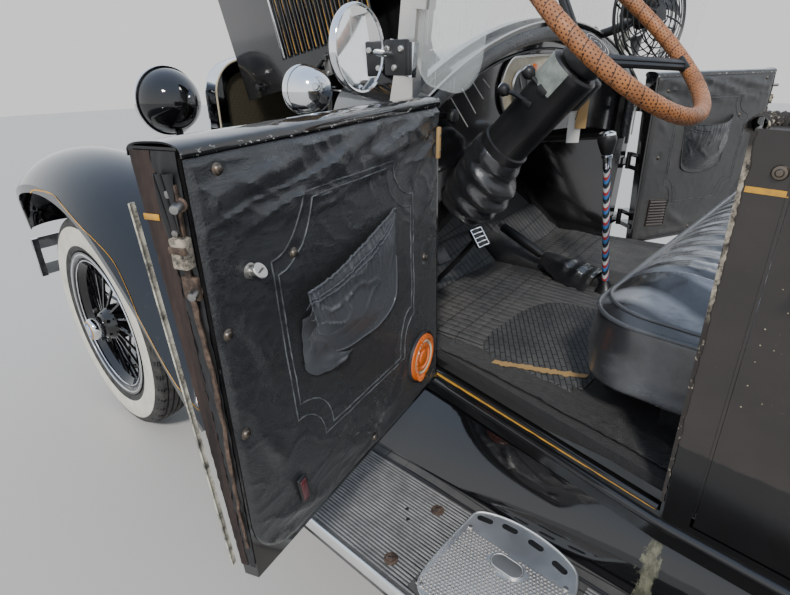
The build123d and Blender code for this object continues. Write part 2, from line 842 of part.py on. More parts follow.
def rear_axle():
    tube = rod((rear_axle_x, -605, tyre_r), (rear_axle_x, 605, tyre_r), 38)
    banjo = revolve(make_face([
        Line((0, -80), (60, -80)),
        ThreePointArc((60, -80), (138, 0), (60, 80)),
        Line((60, 80), (0, 80)),
        Line((0, 80), (0, -80)),
    ]), Axis.Y)
    banjo = Pos(rear_axle_x, 0, tyre_r) * banjo
    torque = cone((rear_axle_x + 100, 0, tyre_r), (gearbox_back + 10, 0, 440), 48, 34)
    torque = torque & block(rear_axle_x, gearbox_back, -200, 200, 200, 600)
    whole = tube + banjo + torque
    for side in (1, -1):
        whole = whole + block(rear_spring_x - 16, rear_axle_x, side * 414, side * 446, 352, 380)
        whole = whole + rod((rear_spring_x, side * 430, 366), (rear_spring_x, side * 430, 418), 16)
        whole = whole + rod((rear_axle_x, side * 597, tyre_r), (rear_axle_x, side * 605, tyre_r), drum_r + 4)
        whole = whole + rod((rear_axle_x + 20, side * 560, tyre_r - 20), (200, side * 30, 415), 12)
        whole = whole + rod((rear_axle_x, side * 590, tyre_r), (rear_axle_x, side * 720, tyre_r), spindle_r)
    return whole


def knuckle(side):
    y = side * kingpin_y
    pin = rod((front_axle_x, y, 306), (front_axle_x, y, 430), kingpin_r)
    whole = pin
    for low, high in ((306, 331), (405, 430)):
        whole = whole + rod((front_axle_x, y, low), (front_axle_x, y, high), 24)
        whole = whole + block(front_axle_x - 20, front_axle_x + 20, y, y + side * 38, low, high)
    whole = whole + block(front_axle_x - 20, front_axle_x + 20, y + side * 28, y + side * 40, 306, 430)
    whole = whole + rod((front_axle_x, y + side * 32, tyre_r), (front_axle_x, side * 720, tyre_r), spindle_r)
    arm_x = front_axle_x - tie_rod_back
    whole = whole + block(arm_x - 12, front_axle_x, y - side * 22, y + side * 4, 306, 322)
    whole = whole + rod((arm_x, y, tie_rod_z - 16), (arm_x, y, 322), 9)
    return whole


def tie_rod():
    arm_x = front_axle_x - tie_rod_back
    whole = rod((arm_x, -kingpin_y, tie_rod_z), (arm_x, kingpin_y, tie_rod_z), 11)
    for side in (1, -1):
        y = side * kingpin_y
        whole = whole + rod((arm_x, y, tie_rod_z - 14), (arm_x, y, tie_rod_z + 14), 18)
        whole = whole - rod((arm_x, y, tie_rod_z - 30), (arm_x, y, tie_rod_z + 30), 9 + kingpin_clearance)
    return whole


# ---- Wheels ----

spoke_count = 15
spoke_across = 7


def spoke(start, end):
    start, end = Vector(*start), Vector(*end)
    along = end - start
    plane = Plane(origin=start, z_dir=along.normalized())
    return extrude(plane * Rectangle(spoke_across, spoke_across), amount=along.length)


def wire_wheel():
    # axis along Y, outer side towards +Y, centre plane at y = 0
    rim = revolve(make_face(Polyline(
        (rim_r, -rim_half_width), (rim_r, -rim_half_width + 5), (rim_r - 14, -rim_half_width + 8),
        (rim_r - 20, -18), (rim_r - 32, -8), (rim_r - 32, 14), (rim_r - 14, rim_half_width - 8),
        (rim_r, rim_half_width - 5), (rim_r, rim_half_width), (rim_r - 19, rim_half_width - 3),
        (rim_r - 38, 16), (rim_r - 38, -12), (rim_r - 19, -rim_half_width + 3), close=True)), Axis.Y)
    hub = revolve(make_face(Polyline(
        (hub_bore_r, -66), (drum_r - 8, -66), (drum_r - 8, -100), (drum_r, -100), (drum_r, -58), (64, -46),
        (60, 30), (44, 56), (36, 62), (34, 92), (22, 99), (0, 99), (0, 20), (hub_bore_r, 20),
        close=True)), Axis.Y)
    wheel = rim + hub
    step = 2 * pi / spoke_count
    rows = [
        # hub radius, hub y, rim y, turn of the rim end against the hub end
        (54, 34, 4, 0.30),
        (58, -36, -2, -0.30),
    ]
    for hub_r, hub_y, rim_y, twist in rows:
        for number in range(spoke_count):
            turn = number * step + (step / 2 if hub_y < 0 else 0)
            end = turn + twist
            a = (hub_r * cos(turn), hub_y, hub_r * sin(turn))
            b = ((rim_r - 34) * cos(end), rim_y, (rim_r - 34) * sin(end))
            wheel = wheel + spoke(a, b)
    return wheel


def tyre():
    w = tyre_half_width
    return revolve(make_face(Polyline(
        (rim_r, -rim_half_width + 6), (rim_r + 50, -w), (tyre_r - 22, -w + 6), (tyre_r, -w + 26),
        (tyre_r, w - 26), (tyre_r - 22, w - 6), (rim_r + 50, w), (rim_r, rim_half_width - 6), close=True)), Axis.Y)


def placed(shape, x, side):
    shape = shape if side > 0 else Rot(0, 0, 180) * shape
    return Pos(x, side * half_track, tyre_r) * shape


def spare_wheel():
    # covered spare on its carrier behind the body
    centre_x, centre_z = -1655, 720
    profile = make_face(Polyline((0, -52), (120, -60), (290, -60), (tyre_r - 20, -44), (tyre_r, 0),
                                 (tyre_r - 20, 44), (290, 60), (0, 60), close=True))
    cover = revolve(Plane.XY * profile, Axis.Y)
    cover = Pos(centre_x, 0, centre_z) * Rot(0, 0, 90) * cover
    carrier = block(centre_x + 40, -1560, -60, 60, 590, 640)
    carrier = carrier + block(-1600, -1560, -60, 60, rail_top - sheet, 640)
    return cover + carrier


# ---- Engine ----

def engine():
    whole = block(640, 1150, -130, 130, 420, 760)
    whole = whole + block(650, 1140, -112, 112, 760, 815)
    whole = whole + block(660, 1120, -105, 105, 300, 430)
    whole = whole + cone((604, 0, 470), (650, 0, 470), 150, 185)
    whole = whole + block(gearbox_back, 606, -95, 95, gearbox_low, 550)
    # water outlet, pump, fan and pulley
    whole = whole + rod((1080, 0, 800), (1150, 0, 880), 26)
    whole = whole + rod((1150, 0, 700), (1248, 0, 700), 34)
    whole = whole + rod((1200, 0, 700), (1222, 0, 700), 70)
    whole = whole + rod((1150, 0, 420), (1215, 0, 420), 50)
    for turn in (0, 90):
        blade = Box(6, 62, 380)
        whole = whole + Pos(1240, 0, 700) * Rot(turn, 0, 0) * Rot(0, 0, 18) * blade
    # spark plugs and distributor on the head
    for number in range(4):
        whole = whole + rod((720 + number * 118, 0, 812), (720 + number * 118, 0, 858), 12)
    whole = whole + cone((890, -60, 812), (890, -60, 900), 34, 46)
    # exhaust and intake manifolds with the carburettor on the right, generator on the left
    whole = whole + rod((700, -157, 690), (1090, -157, 690), 30)
    for x in (720, 895, 1070):
        whole = whole + rod((x, -120, 690), (x, -165, 690), 24)
    whole = whole + rod((895, -170, 680), (895, -170, 560), 24)
    whole = whole + block(860, 930, -205, -135, 545, 620)
    whole = whole + rod((940, 175, 600), (1160, 175, 600), 58)
    whole = whole + block(960, 1120, 120, 180, 540, 600)
    return whole


def exhaust():
    bend, box_front, box_back = (690, -214, 420), (-600, -250, 300), (-1000, -260, 300)
    down = rod((708, -180, 680), bend, 20) + Pos(*bend) * Sphere(20)
    pipe = rod(bend, box_front, 20)
    muffler = rod(box_front, box_back, 70)
    tail = rod(box_back, (-1900, -290, 290), 18)
    return down + pipe + muffler + tail - engine()


# ---- Cabin ----

def rounded_block(x0, x1, half, z0, z1, radius):
    body = block(x0, x1, -half, half, z0, z1)
    return fillet(body.edges().filter_by(Axis.Y), radius)


def seat_cushion(front, back, half, low, high, corner_r=70):
    profile = make_face([
        Line((back, 0, low), (front - 30, 0, low)),
        ThreePointArc((front - 30, 0, low), (front, 0, (low + high) / 2), (front - 60, 0, high - 8)),
        ThreePointArc((front - 60, 0, high - 8), ((front + back) / 2, 0, high), (back, 0, high - 24)),
        Line((back, 0, high - 24), (back, 0, low)),
    ])
    cushion = extrude(profile, amount=half, both=True, dir=(0, 1, 0))
    plan = block(back - 1, front + 1, -half, half, low - 1, high + 1)
    corners = plan.edges().filter_by(Axis.Z).sort_by(Axis.X)[-2:]
    return cushion & fillet(corners, corner_r)


def seat_back(front, lean_to, half, low, high, thick):
    profile = make_face([
        Line((front, 0, low), (lean_to, 0, high - 30)),
        ThreePointArc((lean_to, 0, high - 30), (lean_to - thick / 2, 0, high), (lean_to - thick, 0, high - 30)),
        Line((lean_to - thick, 0, high - 30), (front - thick, 0, low)),
        Line((front - thick, 0, low), (front, 0, low)),
    ])
    return extrude(profile, amount=half, both=True, dir=(0, 1, 0))


def top_boot():
    # the folded top in its cover, round the back of the body
    path = Line((-1080, 600, boot_z), (-1240, 596, boot_z))
    path = path + ThreePointArc((-1240, 596, boot_z), (-1420, 520, boot_z), (-1490, 330, boot_z))
    path = path + Line((-1490, 330, boot_z), (-1490, -330, boot_z))
    path = path + ThreePointArc((-1490, -330, boot_z), (-1420, -520, boot_z), (-1240, -596, boot_z))
    path = path + Line((-1240, -596, boot_z), (-1080, -600, boot_z))
    section = Plane(origin=(-1080, 600, boot_z), z_dir=(-1, 0, 0)) * RectangleRounded(boot_across, boot_across, 44)
    return sweep(section, path=path)


steer_down = Vector(cos(radians(steer_rake)), 0, -sin(radians(steer_rake)))


def steering_column():
    def down(distance):
        return steer_hub + steer_down * distance

    end = down((steer_hub.Z - 535) / sin(radians(steer_rake)))
    shaft = rod(down(200), end, 24)
    cover = rod(down(steer_dish + 26), down(288), column_r) + rod(down(272), down(290), column_r + 5)
    # the gaiter sags below the column
    sag = Vector(-sin(radians(steer_rake)), 0, -cos(radians(steer_rake)))
    gaiter = cone(down(288), down(350) + sag * 22, column_r, 60)
    gaiter = gaiter + cone(down(350) + sag * 22, down(420) + sag * 22, 60, 64)
    gaiter = gaiter + cone(down(420) + sag * 22, down(465) + sag * 4, 64, 28)
    gearcase = block(end.X - 40, end.X + 34, 308, rail_y - sheet, 500, rail_top - sheet)
    return shaft + cover + gaiter + gearcase - chassis_frame()


def column_room():
    # the hole that the column passes through in the toe board and the body's foot
    along = steer_down * 960
    return rod(steer_hub, steer_hub + along, 26)


def steering_wheel():
    axis = Vector(-cos(radians(steer_rake)), 0, sin(radians(steer_rake)))
    plane = Plane(origin=steer_hub, x_dir=(0, 1, 0), z_dir=axis)
    whole = plane * Torus(steer_r, steer_grip_r)
    whole = whole + plane * Pos(0, 0, -steer_dish) * Cylinder(steer_hub_r, 38)
    for turn in (30, 150, 270):
        across = Rot(0, 0, turn)
        reach = hypot(steer_r - 24, steer_dish)
        rise = degrees(atan2(steer_dish, steer_r - 24))
        bar = Box(reach, 26, 9, align=(Align.MIN, Align.CENTER, Align.CENTER))
        whole = whole + plane * across * Pos(24, 0, -steer_dish) * Rot(0, -rise, 0) * bar
    return whole


def floor_controls():
    lever = rod((37, -4, 600), (87, 0, 990), 6) + rod((30, -4, 600), (34, -4, 650), 26)
    lever = lever + Pos(88, 0, 1000) * Sphere(22)
    brake = rod((52, -70, 600), (250, -68, 760), 8)
    pieces = [lever - floor(), brake - floor()]
    for x, y, z, foot_y in ((266, 250, 781, 250), (240, 431, 798, 388)):
        pad = Plane(origin=(x, y, z), z_dir=(-0.8, 0, 0.6)) * Box(60, 58, 10)
        arm = rod((x + 4, y, z - 5), (400, foot_y, 620), 7)
        pieces.append(pad + arm - toe_board())
    return pieces


def cabin_fan():
    centre = Vector(110, -200, 1255)
    look = Vector(-0.9, 0.3, 0.1).normalized()
    plane = Plane(origin=centre, z_dir=look)
    cage = plane * Cylinder(100, 60)
    return cage + rod(centre, Vector(250, -230, 1215), 12) - cowl()


def instrument_panel():
    plate = SlotOverall(300, 130)
    return extrude(Plane(origin=(dash_face, 0, 1098), x_dir=(0, -1, 0), z_dir=(-1, 0, 0)) * plate, amount=6)


# ---- Every piece in its place ----

left_door = front_door()
save("front_door_left", turned(left_door, (hinge_x, hinge_y, 0), (0, 0, 1), -left_door_open))
right_door = mirror(left_door, about=Plane.XZ)
save("front_door_right", turned(right_door, (hinge_x, -hinge_y, 0), (0, 0, 1), right_door_open))
save("rear_door_left", rear_door())
save("rear_door_right", mirror(rear_door(), about=Plane.XZ))
save("body_tub", body_tub())
save("floor", floor())
save("cowl", cowl() - column_room())
save("toe_board", toe_board() - column_room())

save("radiator_shell", radiator_shell())
save("radiator_core", radiator_core())
left_top, left_side = hood_left_raised()
save("hood_left_top", left_top)
save("hood_left_side", left_side)
save("hood_right_top", mirror(hood_top_closed((0.27, 0.57, 0.87)), about=Plane.XZ))
save("hood_right_side", mirror(hood_side_closed(), about=Plane.XZ))
save("hood_hinge", hood_hinge())

save("front_fenders", *both_sides(fender(front_fender_stations, 0)))
save("rear_fenders", *both_sides(fender(rear_fender_stations, 0) - outer_body))
save("front_aprons", *both_sides(front_apron()))
save("running_boards", *both_sides(running_board()))
save("splash_aprons", *both_sides(splash_apron()))
save("step_plates", *both_sides(step_plate()))

save("windshield_frame", windshield_frame())
save("glass", windshield_pane(), *wind_wings())
save("side_mirror", side_mirror())
save("headlamps", headlamps())
save("headlamp_lenses", *headlamp_lenses())
save("cowl_lamps", *cowl_lamps())
save("front_bumper", front_bumper())
save("rear_bumper", rear_bumper())

save("chassis_frame", chassis_frame())
save("springs", leaf_spring(front_axle_x), leaf_spring(rear_spring_x))
save("front_axle", front_axle())
save("rear_axle", rear_axle())
save("knuckle_left", knuckle(1))
save("knuckle_right", knuckle(-1))
save("tie_rod", tie_rod())
for name, x, side in (("front_left", front_axle_x, 1), ("front_right", front_axle_x, -1),
                      ("rear_left", rear_axle_x, 1), ("rear_right", rear_axle_x, -1)):
    save("wheel_" + name, placed(wire_wheel(), x, side))
    save("tyre_" + name, placed(tyre(), x, side))
save("spare_wheel", spare_wheel())

save("engine", engine())
save("exhaust", exhaust())

save("front_seat_cushion", seat_cushion(-105, -505, 515, seat_base, 872) & seat_space)
save("front_seat_back", seat_back(-505, -545, 600, seat_base + 4, 1110, 62) & seat_space)
save("rear_seat_cushion", seat_cushion(-1000, -1360, 600, rear_seat_base, 880) & seat_space)
save("rear_seat_back", seat_back(-1360, -1400, 600, rear_seat_base + 4, 1110, 60) & seat_space)
save("top_boot", top_boot())
save("steering_column", steering_column())
save("steering_wheel", steering_wheel())
save("floor_controls", *floor_controls())
save("cabin_fan", cabin_fan())
save("instrument_panel", instrument_panel())
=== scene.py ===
import bpy
import bmesh
from math import atan2, cos, exp, hypot, pi, radians, sin, sqrt
from mathutils import Matrix, Vector, noise
from mathutils.bvhtree import BVHTree


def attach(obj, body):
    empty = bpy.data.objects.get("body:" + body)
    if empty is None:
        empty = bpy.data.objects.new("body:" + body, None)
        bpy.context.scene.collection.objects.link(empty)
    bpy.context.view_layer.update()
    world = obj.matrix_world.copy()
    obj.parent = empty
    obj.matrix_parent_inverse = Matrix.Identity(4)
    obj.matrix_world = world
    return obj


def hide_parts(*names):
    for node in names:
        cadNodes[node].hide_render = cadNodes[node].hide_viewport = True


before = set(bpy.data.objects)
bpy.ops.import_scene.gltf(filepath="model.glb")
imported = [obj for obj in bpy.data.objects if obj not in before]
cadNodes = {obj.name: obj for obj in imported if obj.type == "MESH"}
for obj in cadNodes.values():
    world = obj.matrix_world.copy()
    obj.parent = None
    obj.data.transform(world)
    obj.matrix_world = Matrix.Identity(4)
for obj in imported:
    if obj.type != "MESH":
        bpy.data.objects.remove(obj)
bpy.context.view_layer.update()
scene = bpy.context.scene
print("frame loaded,", len(cadNodes), "CAD nodes")


# camera, floor and light

cameraFacts = {"place": (-0.396, 1.27, 1.188), "yaw": -47.6, "pitch": -25, "roll": -0.8, "lens": 24.17}
lightFacts = {"skyColour": (0.8, 0.88, 1), "skyStrength": 0.84, "glossStrength": 1.3,
              "floorColour": (0.6, 0.585, 0.56), "keyPower": 2.35, "keyAngle": 7, "keyPlace": (-0.42, 0.6, 0.68)}


def makeCamera():
    yaw, pitch, roll = (radians(cameraFacts[k]) for k in ("yaw", "pitch", "roll"))
    forward = Vector((cos(pitch) * cos(yaw), cos(pitch) * sin(yaw), sin(pitch)))
    right = forward.cross(Vector((0, 0, 1))).normalized()
    up = right.cross(forward)
    tiltedRight = right * cos(roll) + up * sin(roll)
    tiltedUp = up * cos(roll) - right * sin(roll)
    data = bpy.data.cameras.new("camera")
    data.sensor_width = 36
    data.lens = cameraFacts["lens"]
    data.clip_start = 0.02
    camera = bpy.data.objects.new("camera", data)
    turn = Matrix((tiltedRight, tiltedUp, -forward)).transposed().to_4x4()
    camera.matrix_world = Matrix.Translation(cameraFacts["place"]) @ turn
    scene.collection.objects.link(camera)
    scene.camera = camera


def makeStage():
    part = bmesh.new()
    bmesh.ops.create_circle(part, cap_ends=True, segments=96, radius=14)
    mesh = bpy.data.meshes.new("floor_stage")
    part.to_mesh(mesh)
    part.free()
    ground = bpy.data.objects.new("floor_stage", mesh)
    scene.collection.objects.link(ground)
    finish = bpy.data.materials.new("stageFloor")
    finish.use_nodes = True
    shader = finish.node_tree.nodes["Principled BSDF"]
    shader.inputs["Base Color"].default_value = (*lightFacts["floorColour"], 1)
    shader.inputs["Roughness"].default_value = 0.85
    mesh.materials.append(finish)


def addNode(tree, kind, inputs=None, **settings):
    item = tree.nodes.new(kind)
    for key, value in settings.items():
        setattr(item, key, value)
    for key, value in (inputs or {}).items():
        if isinstance(value, bpy.types.NodeSocket):
            tree.links.new(value, item.inputs[key])
        else:
            item.inputs[key].default_value = value
    return item


def makeLight():
    # the sky is pale to the camera, plain light to the surfaces and a soft ramp in reflections
    world = bpy.data.worlds.new("sky")
    scene.world = world
    world.use_nodes = True
    tree = world.node_tree
    tree.nodes.clear()
    path = addNode(tree, "ShaderNodeLightPath").outputs
    coords = addNode(tree, "ShaderNodeTexCoord").outputs["Generated"]
    height = addNode(tree, "ShaderNodeSeparateXYZ", {0: coords}).outputs["Z"]
    ramp = addNode(tree, "ShaderNodeValToRGB", {0: height})
    stops = ramp.color_ramp.elements
    stops[0].position, stops[0].color = 0, (0.93, 0.94, 0.95, 1)
    stops[1].position, stops[1].color = 0.92, (0.56, 0.69, 0.93, 1)
    middle = stops.new(0.3)
    middle.color = (0.86, 0.91, 0.97, 1)
    facts = {0: (*lightFacts["skyColour"], 1), 1: lightFacts["skyStrength"]}
    diffuse = addNode(tree, "ShaderNodeBackground", facts).outputs[0]
    facts = {0: ramp.outputs[0], 1: lightFacts["glossStrength"]}
    glossy = addNode(tree, "ShaderNodeBackground", facts).outputs[0]
    seen = addNode(tree, "ShaderNodeBackground", {0: (0.96, 0.96, 0.95, 1)}).outputs[0]
    first = addNode(tree, "ShaderNodeMixShader", {0: path["Is Glossy Ray"], 1: diffuse, 2: glossy}).outputs[0]
    facts = {0: path["Is Camera Ray"], 1: path["Is Transmission Ray"]}
    wide = addNode(tree, "ShaderNodeMath", facts, operation="MAXIMUM").outputs[0]
    second = addNode(tree, "ShaderNodeMixShader", {0: wide, 1: first, 2: seen}).outputs[0]
    addNode(tree, "ShaderNodeOutputWorld", {0: second})
    sun = bpy.data.lights.new("key", "SUN")
    sun.energy = lightFacts["keyPower"]
    sun.angle = radians(lightFacts["keyAngle"])
    sun.color = (1, 0.97, 0.92)
    key = bpy.data.objects.new("key", sun)
    turn = Vector(lightFacts["keyPlace"]).to_track_quat("Z", "Y").to_matrix().to_4x4()
    key.matrix_world = Matrix.Translation((0, 0, 4)) @ turn
    scene.collection.objects.link(key)


makeCamera()
makeStage()
makeLight()
print("camera and light made")


# finishes

socketNames = {
    "color": "Base Color", "metallic": "Metallic", "roughness": "Roughness", "ior": "IOR", "alpha": "Alpha",
    "coat": "Coat Weight", "coatRoughness": "Coat Roughness", "sheen": "Sheen Weight",
    "sheenRoughness": "Sheen Roughness",
    "specular": "Specular IOR Level", "transmission": "Transmission Weight",
}


class Finish:
    # one material and its nodes; patterns read Object coordinates, or a UV map where they follow a wrap
    def __init__(self, name, **sockets):
        self.material = bpy.data.materials.new(name)
        self.material.use_nodes = True
        self.tree = self.material.node_tree
        self.shader = self.tree.nodes["Principled BSDF"]
        for key, value in sockets.items():
            value = (*value, 1) if key == "color" else value
            self.shader.inputs[socketNames[key]].default_value = value
        self.place = self.node("ShaderNodeTexCoord").outputs["Object"]

    def node(self, kind, inputs=None, **settings):
        return addNode(self.tree, kind, inputs, **settings)

    def mapped(self, stretch=(1, 1, 1), turn=(0, 0, 0)):
        return self.node("ShaderNodeMapping", {"Vector": self.place, "Scale": stretch, "Rotation": turn}).outputs[0]

    def noise(self, scale, detail=4, rough=0.5, stretch=None, turn=(0, 0, 0)):
        source = self.mapped(stretch, turn) if stretch else self.place
        facts = {"Vector": source, "Scale": scale, "Detail": detail, "Roughness": rough}
        return self.node("ShaderNodeTexNoise", facts).outputs[0]

    def cells(self, scale, feature="F1"):
        return self.node("ShaderNodeTexVoronoi", {"Vector": self.place, "Scale": scale},
                         feature=feature).outputs["Distance"]

    def wave(self, scale, direction):
        return self.node("ShaderNodeTexWave", {"Vector": self.place, "Scale": scale},
                         bands_direction=direction).outputs["Fac"]

    def math(self, operation, a, b=0):
        return self.node("ShaderNodeMath", {0: a, 1: b}, operation=operation).outputs[0]

    def plus(self, a, b):
        return self.math("ADD", a, b)

    def times(self, a, b):
        return self.math("MULTIPLY", a, b)

    def fromMiddle(self, steps):
        # how far each place lies from the middle of its step, from 0 to 0.5
        return self.math("ABSOLUTE", self.math("SUBTRACT", self.math("FRACT", steps), 0.5))

    def span(self, value, low, high, first=0, last=1):
        facts = {"Value": value, "From Min": low, "From Max": high, "To Min": first, "To Max": last}
        return self.node("ShaderNodeMapRange", facts).outputs[0]

    def mix(self, share, a, b):
        a = (*a, 1) if isinstance(a, tuple) else a
        b = (*b, 1) if isinstance(b, tuple) else b
        return self.node("ShaderNodeMix", {0: share, 6: a, 7: b}, data_type="RGBA").outputs[2]

    def clouded(self, cloud, low, high, first, last):
        # a noise that drifts from the first colour to the last
        return self.mix(self.span(self.noise(*cloud), low, high), first, last)

    def axis(self, letter, source=None):
        return self.node("ShaderNodeSeparateXYZ", {0: source or self.place}).outputs[letter]

    def bump(self, height, strength, distance, below=None):
        facts = {"Height": height, "Strength": strength, "Distance": distance}
        if below:
            facts["Normal"] = below
        return self.node("ShaderNodeBump", facts).outputs[0]

    def give(self, **outputs):
        names = dict(socketNames, normal="Normal")
        for key, value in outputs.items():
            self.tree.links.new(value, self.shader.inputs[names[key]])
        return self


def paintFinish(name, colour=(0.007, 0.007, 0.008), dust=0.3, rough=(0.05, 0.2)):
    f = Finish(name, color=colour, coat=0.5, coatRoughness=0.06)
    cloud = f.noise(3, 6, 0.62)
    streak = f.noise(9, 5, 0.6, stretch=(1, 1, 0.25))
    dusty = f.times(f.times(f.span(cloud, 0.36, 0.74), f.span(streak, 0.3, 0.75)), dust)
    base = f.mix(dusty, colour, (0.1, 0.093, 0.082))
    scratch = f.noise(60, 3, 0.7, stretch=(0.06, 1, 1.4), turn=(0.2, 0.1, 0.5))
    grime = f.plus(f.span(cloud, 0.3, 0.8, rough[0], rough[1]), f.span(scratch, 0.62, 0.74, 0, 0.12))
    return f.give(color=base, roughness=grime, normal=f.bump(f.noise(26, 3), 0.05, 0.002))


def metalFinish(name, colour, rough=(0.06, 0.2), rust=0, brushed=0):
    f = Finish(name, color=colour, metallic=1)
    spots = f.span(f.noise(85, 5, 0.7), 0.72 - 0.25 * rust, 0.78)
    base = f.mix(f.times(spots, min(1, 0.25 + rust)), colour, (0.22, 0.13, 0.08))
    haze = f.span(f.noise(14, 5, 0.6), 0.3, 0.75, rough[0], rough[1])
    grain = f.noise(300, 2, 0.5, stretch=(0.02, 1, 1)) if brushed else f.noise(40, 2)
    return f.give(color=base, roughness=haze, normal=f.bump(grain, 0.03 + brushed * 0.15, 0.0006))


def hideFinish(name, colour, grain=420, depth=0.35, rough=(0.32, 0.52), wearAndSheen=0.25, wearAndSheenColour=(0.12, 0.115, 0.105),
               coat=0, wrinkle=0, pleatWearAndSheen=False):
    # leather or vinyl: small cells with fine creases
    f = Finish(name, color=colour, sheen=0.06, coat=coat, coatRoughness=0.24)
    cell = f.cells(grain, "DISTANCE_TO_EDGE")
    crease = f.noise(grain * 0.16, 6, 0.65, stretch=(1, 1, 1.7))
    cloud = f.noise(5.5, 5, 0.6)
    # clouded patches of the wear colour: real wear on most hides, on the pleated seat mostly a painted sheen
    base = f.mix(f.times(f.span(cloud, 0.45, 0.8), wearAndSheen), colour, wearAndSheenColour)
    if pleatWearAndSheen:
        # pleat crowns painted pale, slanting across the cushion's flat top: partly rubbed wear, partly a painted
        # highlight for the sky's reflection on the pleats
        slant = f.plus(f.axis("Y"), f.times(f.axis("X"), 0.27))
        pleats = f.math("DIVIDE", f.plus(slant, 0.034 - 0.287), 0.0675)
        crown = f.span(f.fromMiddle(pleats), 0.25, 0.1)
        flat = f.span(f.axis("Z"), 0.8, 0.826)
        patchy = f.span(f.noise(16, 6, 0.65, stretch=(0.5, 1.4, 1)), 0.3, 0.52)
        base = f.mix(f.times(f.times(crown, flat), patchy), base, (0.36, 0.38, 0.41))
    shine = f.span(f.plus(cloud, f.times(crease, 0.4)), 0.5, 1, rough[0], rough[1])
    low = f.bump(f.span(cell, 0, 0.16), depth * 0.6, 0.0006)
    if wrinkle:
        wander = f.noise(30, 7, 0.62, stretch=(1, 1, 2.2), turn=(0, 0.5, 0))
        fold = f.math("ABSOLUTE", f.math("SUBTRACT", wander, 0.5))
        low = f.bump(f.span(fold, 0, 0.05), wrinkle, 0.0014, low)
    return f.give(color=base, roughness=shine, normal=f.bump(crease, depth, 0.0012, low))


finishes = {}
# name, sockets, noise and its span, first and last colour, bump noise, strength and distance
cloudedFinishes = {
    "rusty": ("rustySteel", {"roughness": 0.62, "metallic": 0.35}, (70, 6, 0.75), (0.4, 0.66),
              (0.05, 0.034, 0.027), (0.2, 0.135, 0.095), (160, 5, 0.7), (0.4, 0.0012)),
    "gold": ("goldLine", {"roughness": 0.35}, (90, 4), (0.42, 0.7), (0.74, 0.38, 0.035), (0.46, 0.25, 0.06)),
    "cream": ("creamPaint", {"roughness": 0.4}, (20, 6, 0.7), (0.42, 0.75),
              (0.66, 0.58, 0.42), (0.4, 0.32, 0.2), (180, 4), (0.1, 0.0006)),
    "whitewall": ("whitewall", {"roughness": 0.55}, (16, 6, 0.65), (0.38, 0.8),
                  (0.84, 0.8, 0.68), (0.6, 0.56, 0.45), (220, 3), (0.12, 0.0005)),
    "rubber": ("tyreRubber", {"roughness": 0.75}, (30, 6, 0.7), (0.35, 0.8),
               (0.018, 0.018, 0.018), (0.1, 0.095, 0.088), (400, 3), (0.2, 0.0005)),
    "iron": ("engineIron", {"roughness": 0.6}, (24, 6, 0.7), (0.35, 0.75),
             (0.05, 0.085, 0.06), (0.045, 0.038, 0.03), (160, 5, 0.7), (0.35, 0.0012)),
    "strip": ("weatherStrip", {"roughness": 0.7}, (60, 6, 0.75), (0.42, 0.62),
              (0.66, 0.62, 0.5), (0.1, 0.095, 0.08), (150, 4), (0.4, 0.001)),
    "ribs": ("boardRibs", {"roughness": 0.5}, (24, 6, 0.7), (0.34, 0.72),
             (0.3, 0.3, 0.3), (0.12, 0.12, 0.12), (300, 3), (0.2, 0.0005)),
    "worn": ("wornGreyPaint", {"roughness": 0.45}, (30, 6, 0.7), (0.36, 0.7),
             (0.36, 0.4, 0.36), (0.14, 0.16, 0.15), (120, 4), (0.2, 0.0006)),
    "wornLine": ("wornLine", {"roughness": 0.6}, (55, 6, 0.7), (0.36, 0.66), (0.17, 0.18, 0.19),
                 (0.02, 0.021, 0.023)),
}
plainFinishes = {
    "red": ("redLens", {"color": (0.1, 0.008, 0.014), "roughness": 0.25, "coat": 0.6}),
    "blue": ("blueRing", {"color": (0.03, 0.17, 0.48), "roughness": 0.3, "coat": 0.5}),
    "lens": ("ribbedLens", {"color": (0.86, 0.9, 0.9), "roughness": 0.08, "ior": 1.3, "alpha": 0.55}),
    "tag": ("paperTag", {"color": (0.72, 0.7, 0.66), "roughness": 0.7}),
    "tan": ("tanTag", {"color": (0.46, 0.29, 0.12), "roughness": 0.6}),
}


def cloudedFinish(name, sockets, cloud, low, first, last, grain=None, depth=None):
    f = Finish(name, **sockets)
    f.give(color=f.clouded(cloud, *low, first, last))
    return f.give(normal=f.bump(f.noise(*grain), *depth)) if grain else f


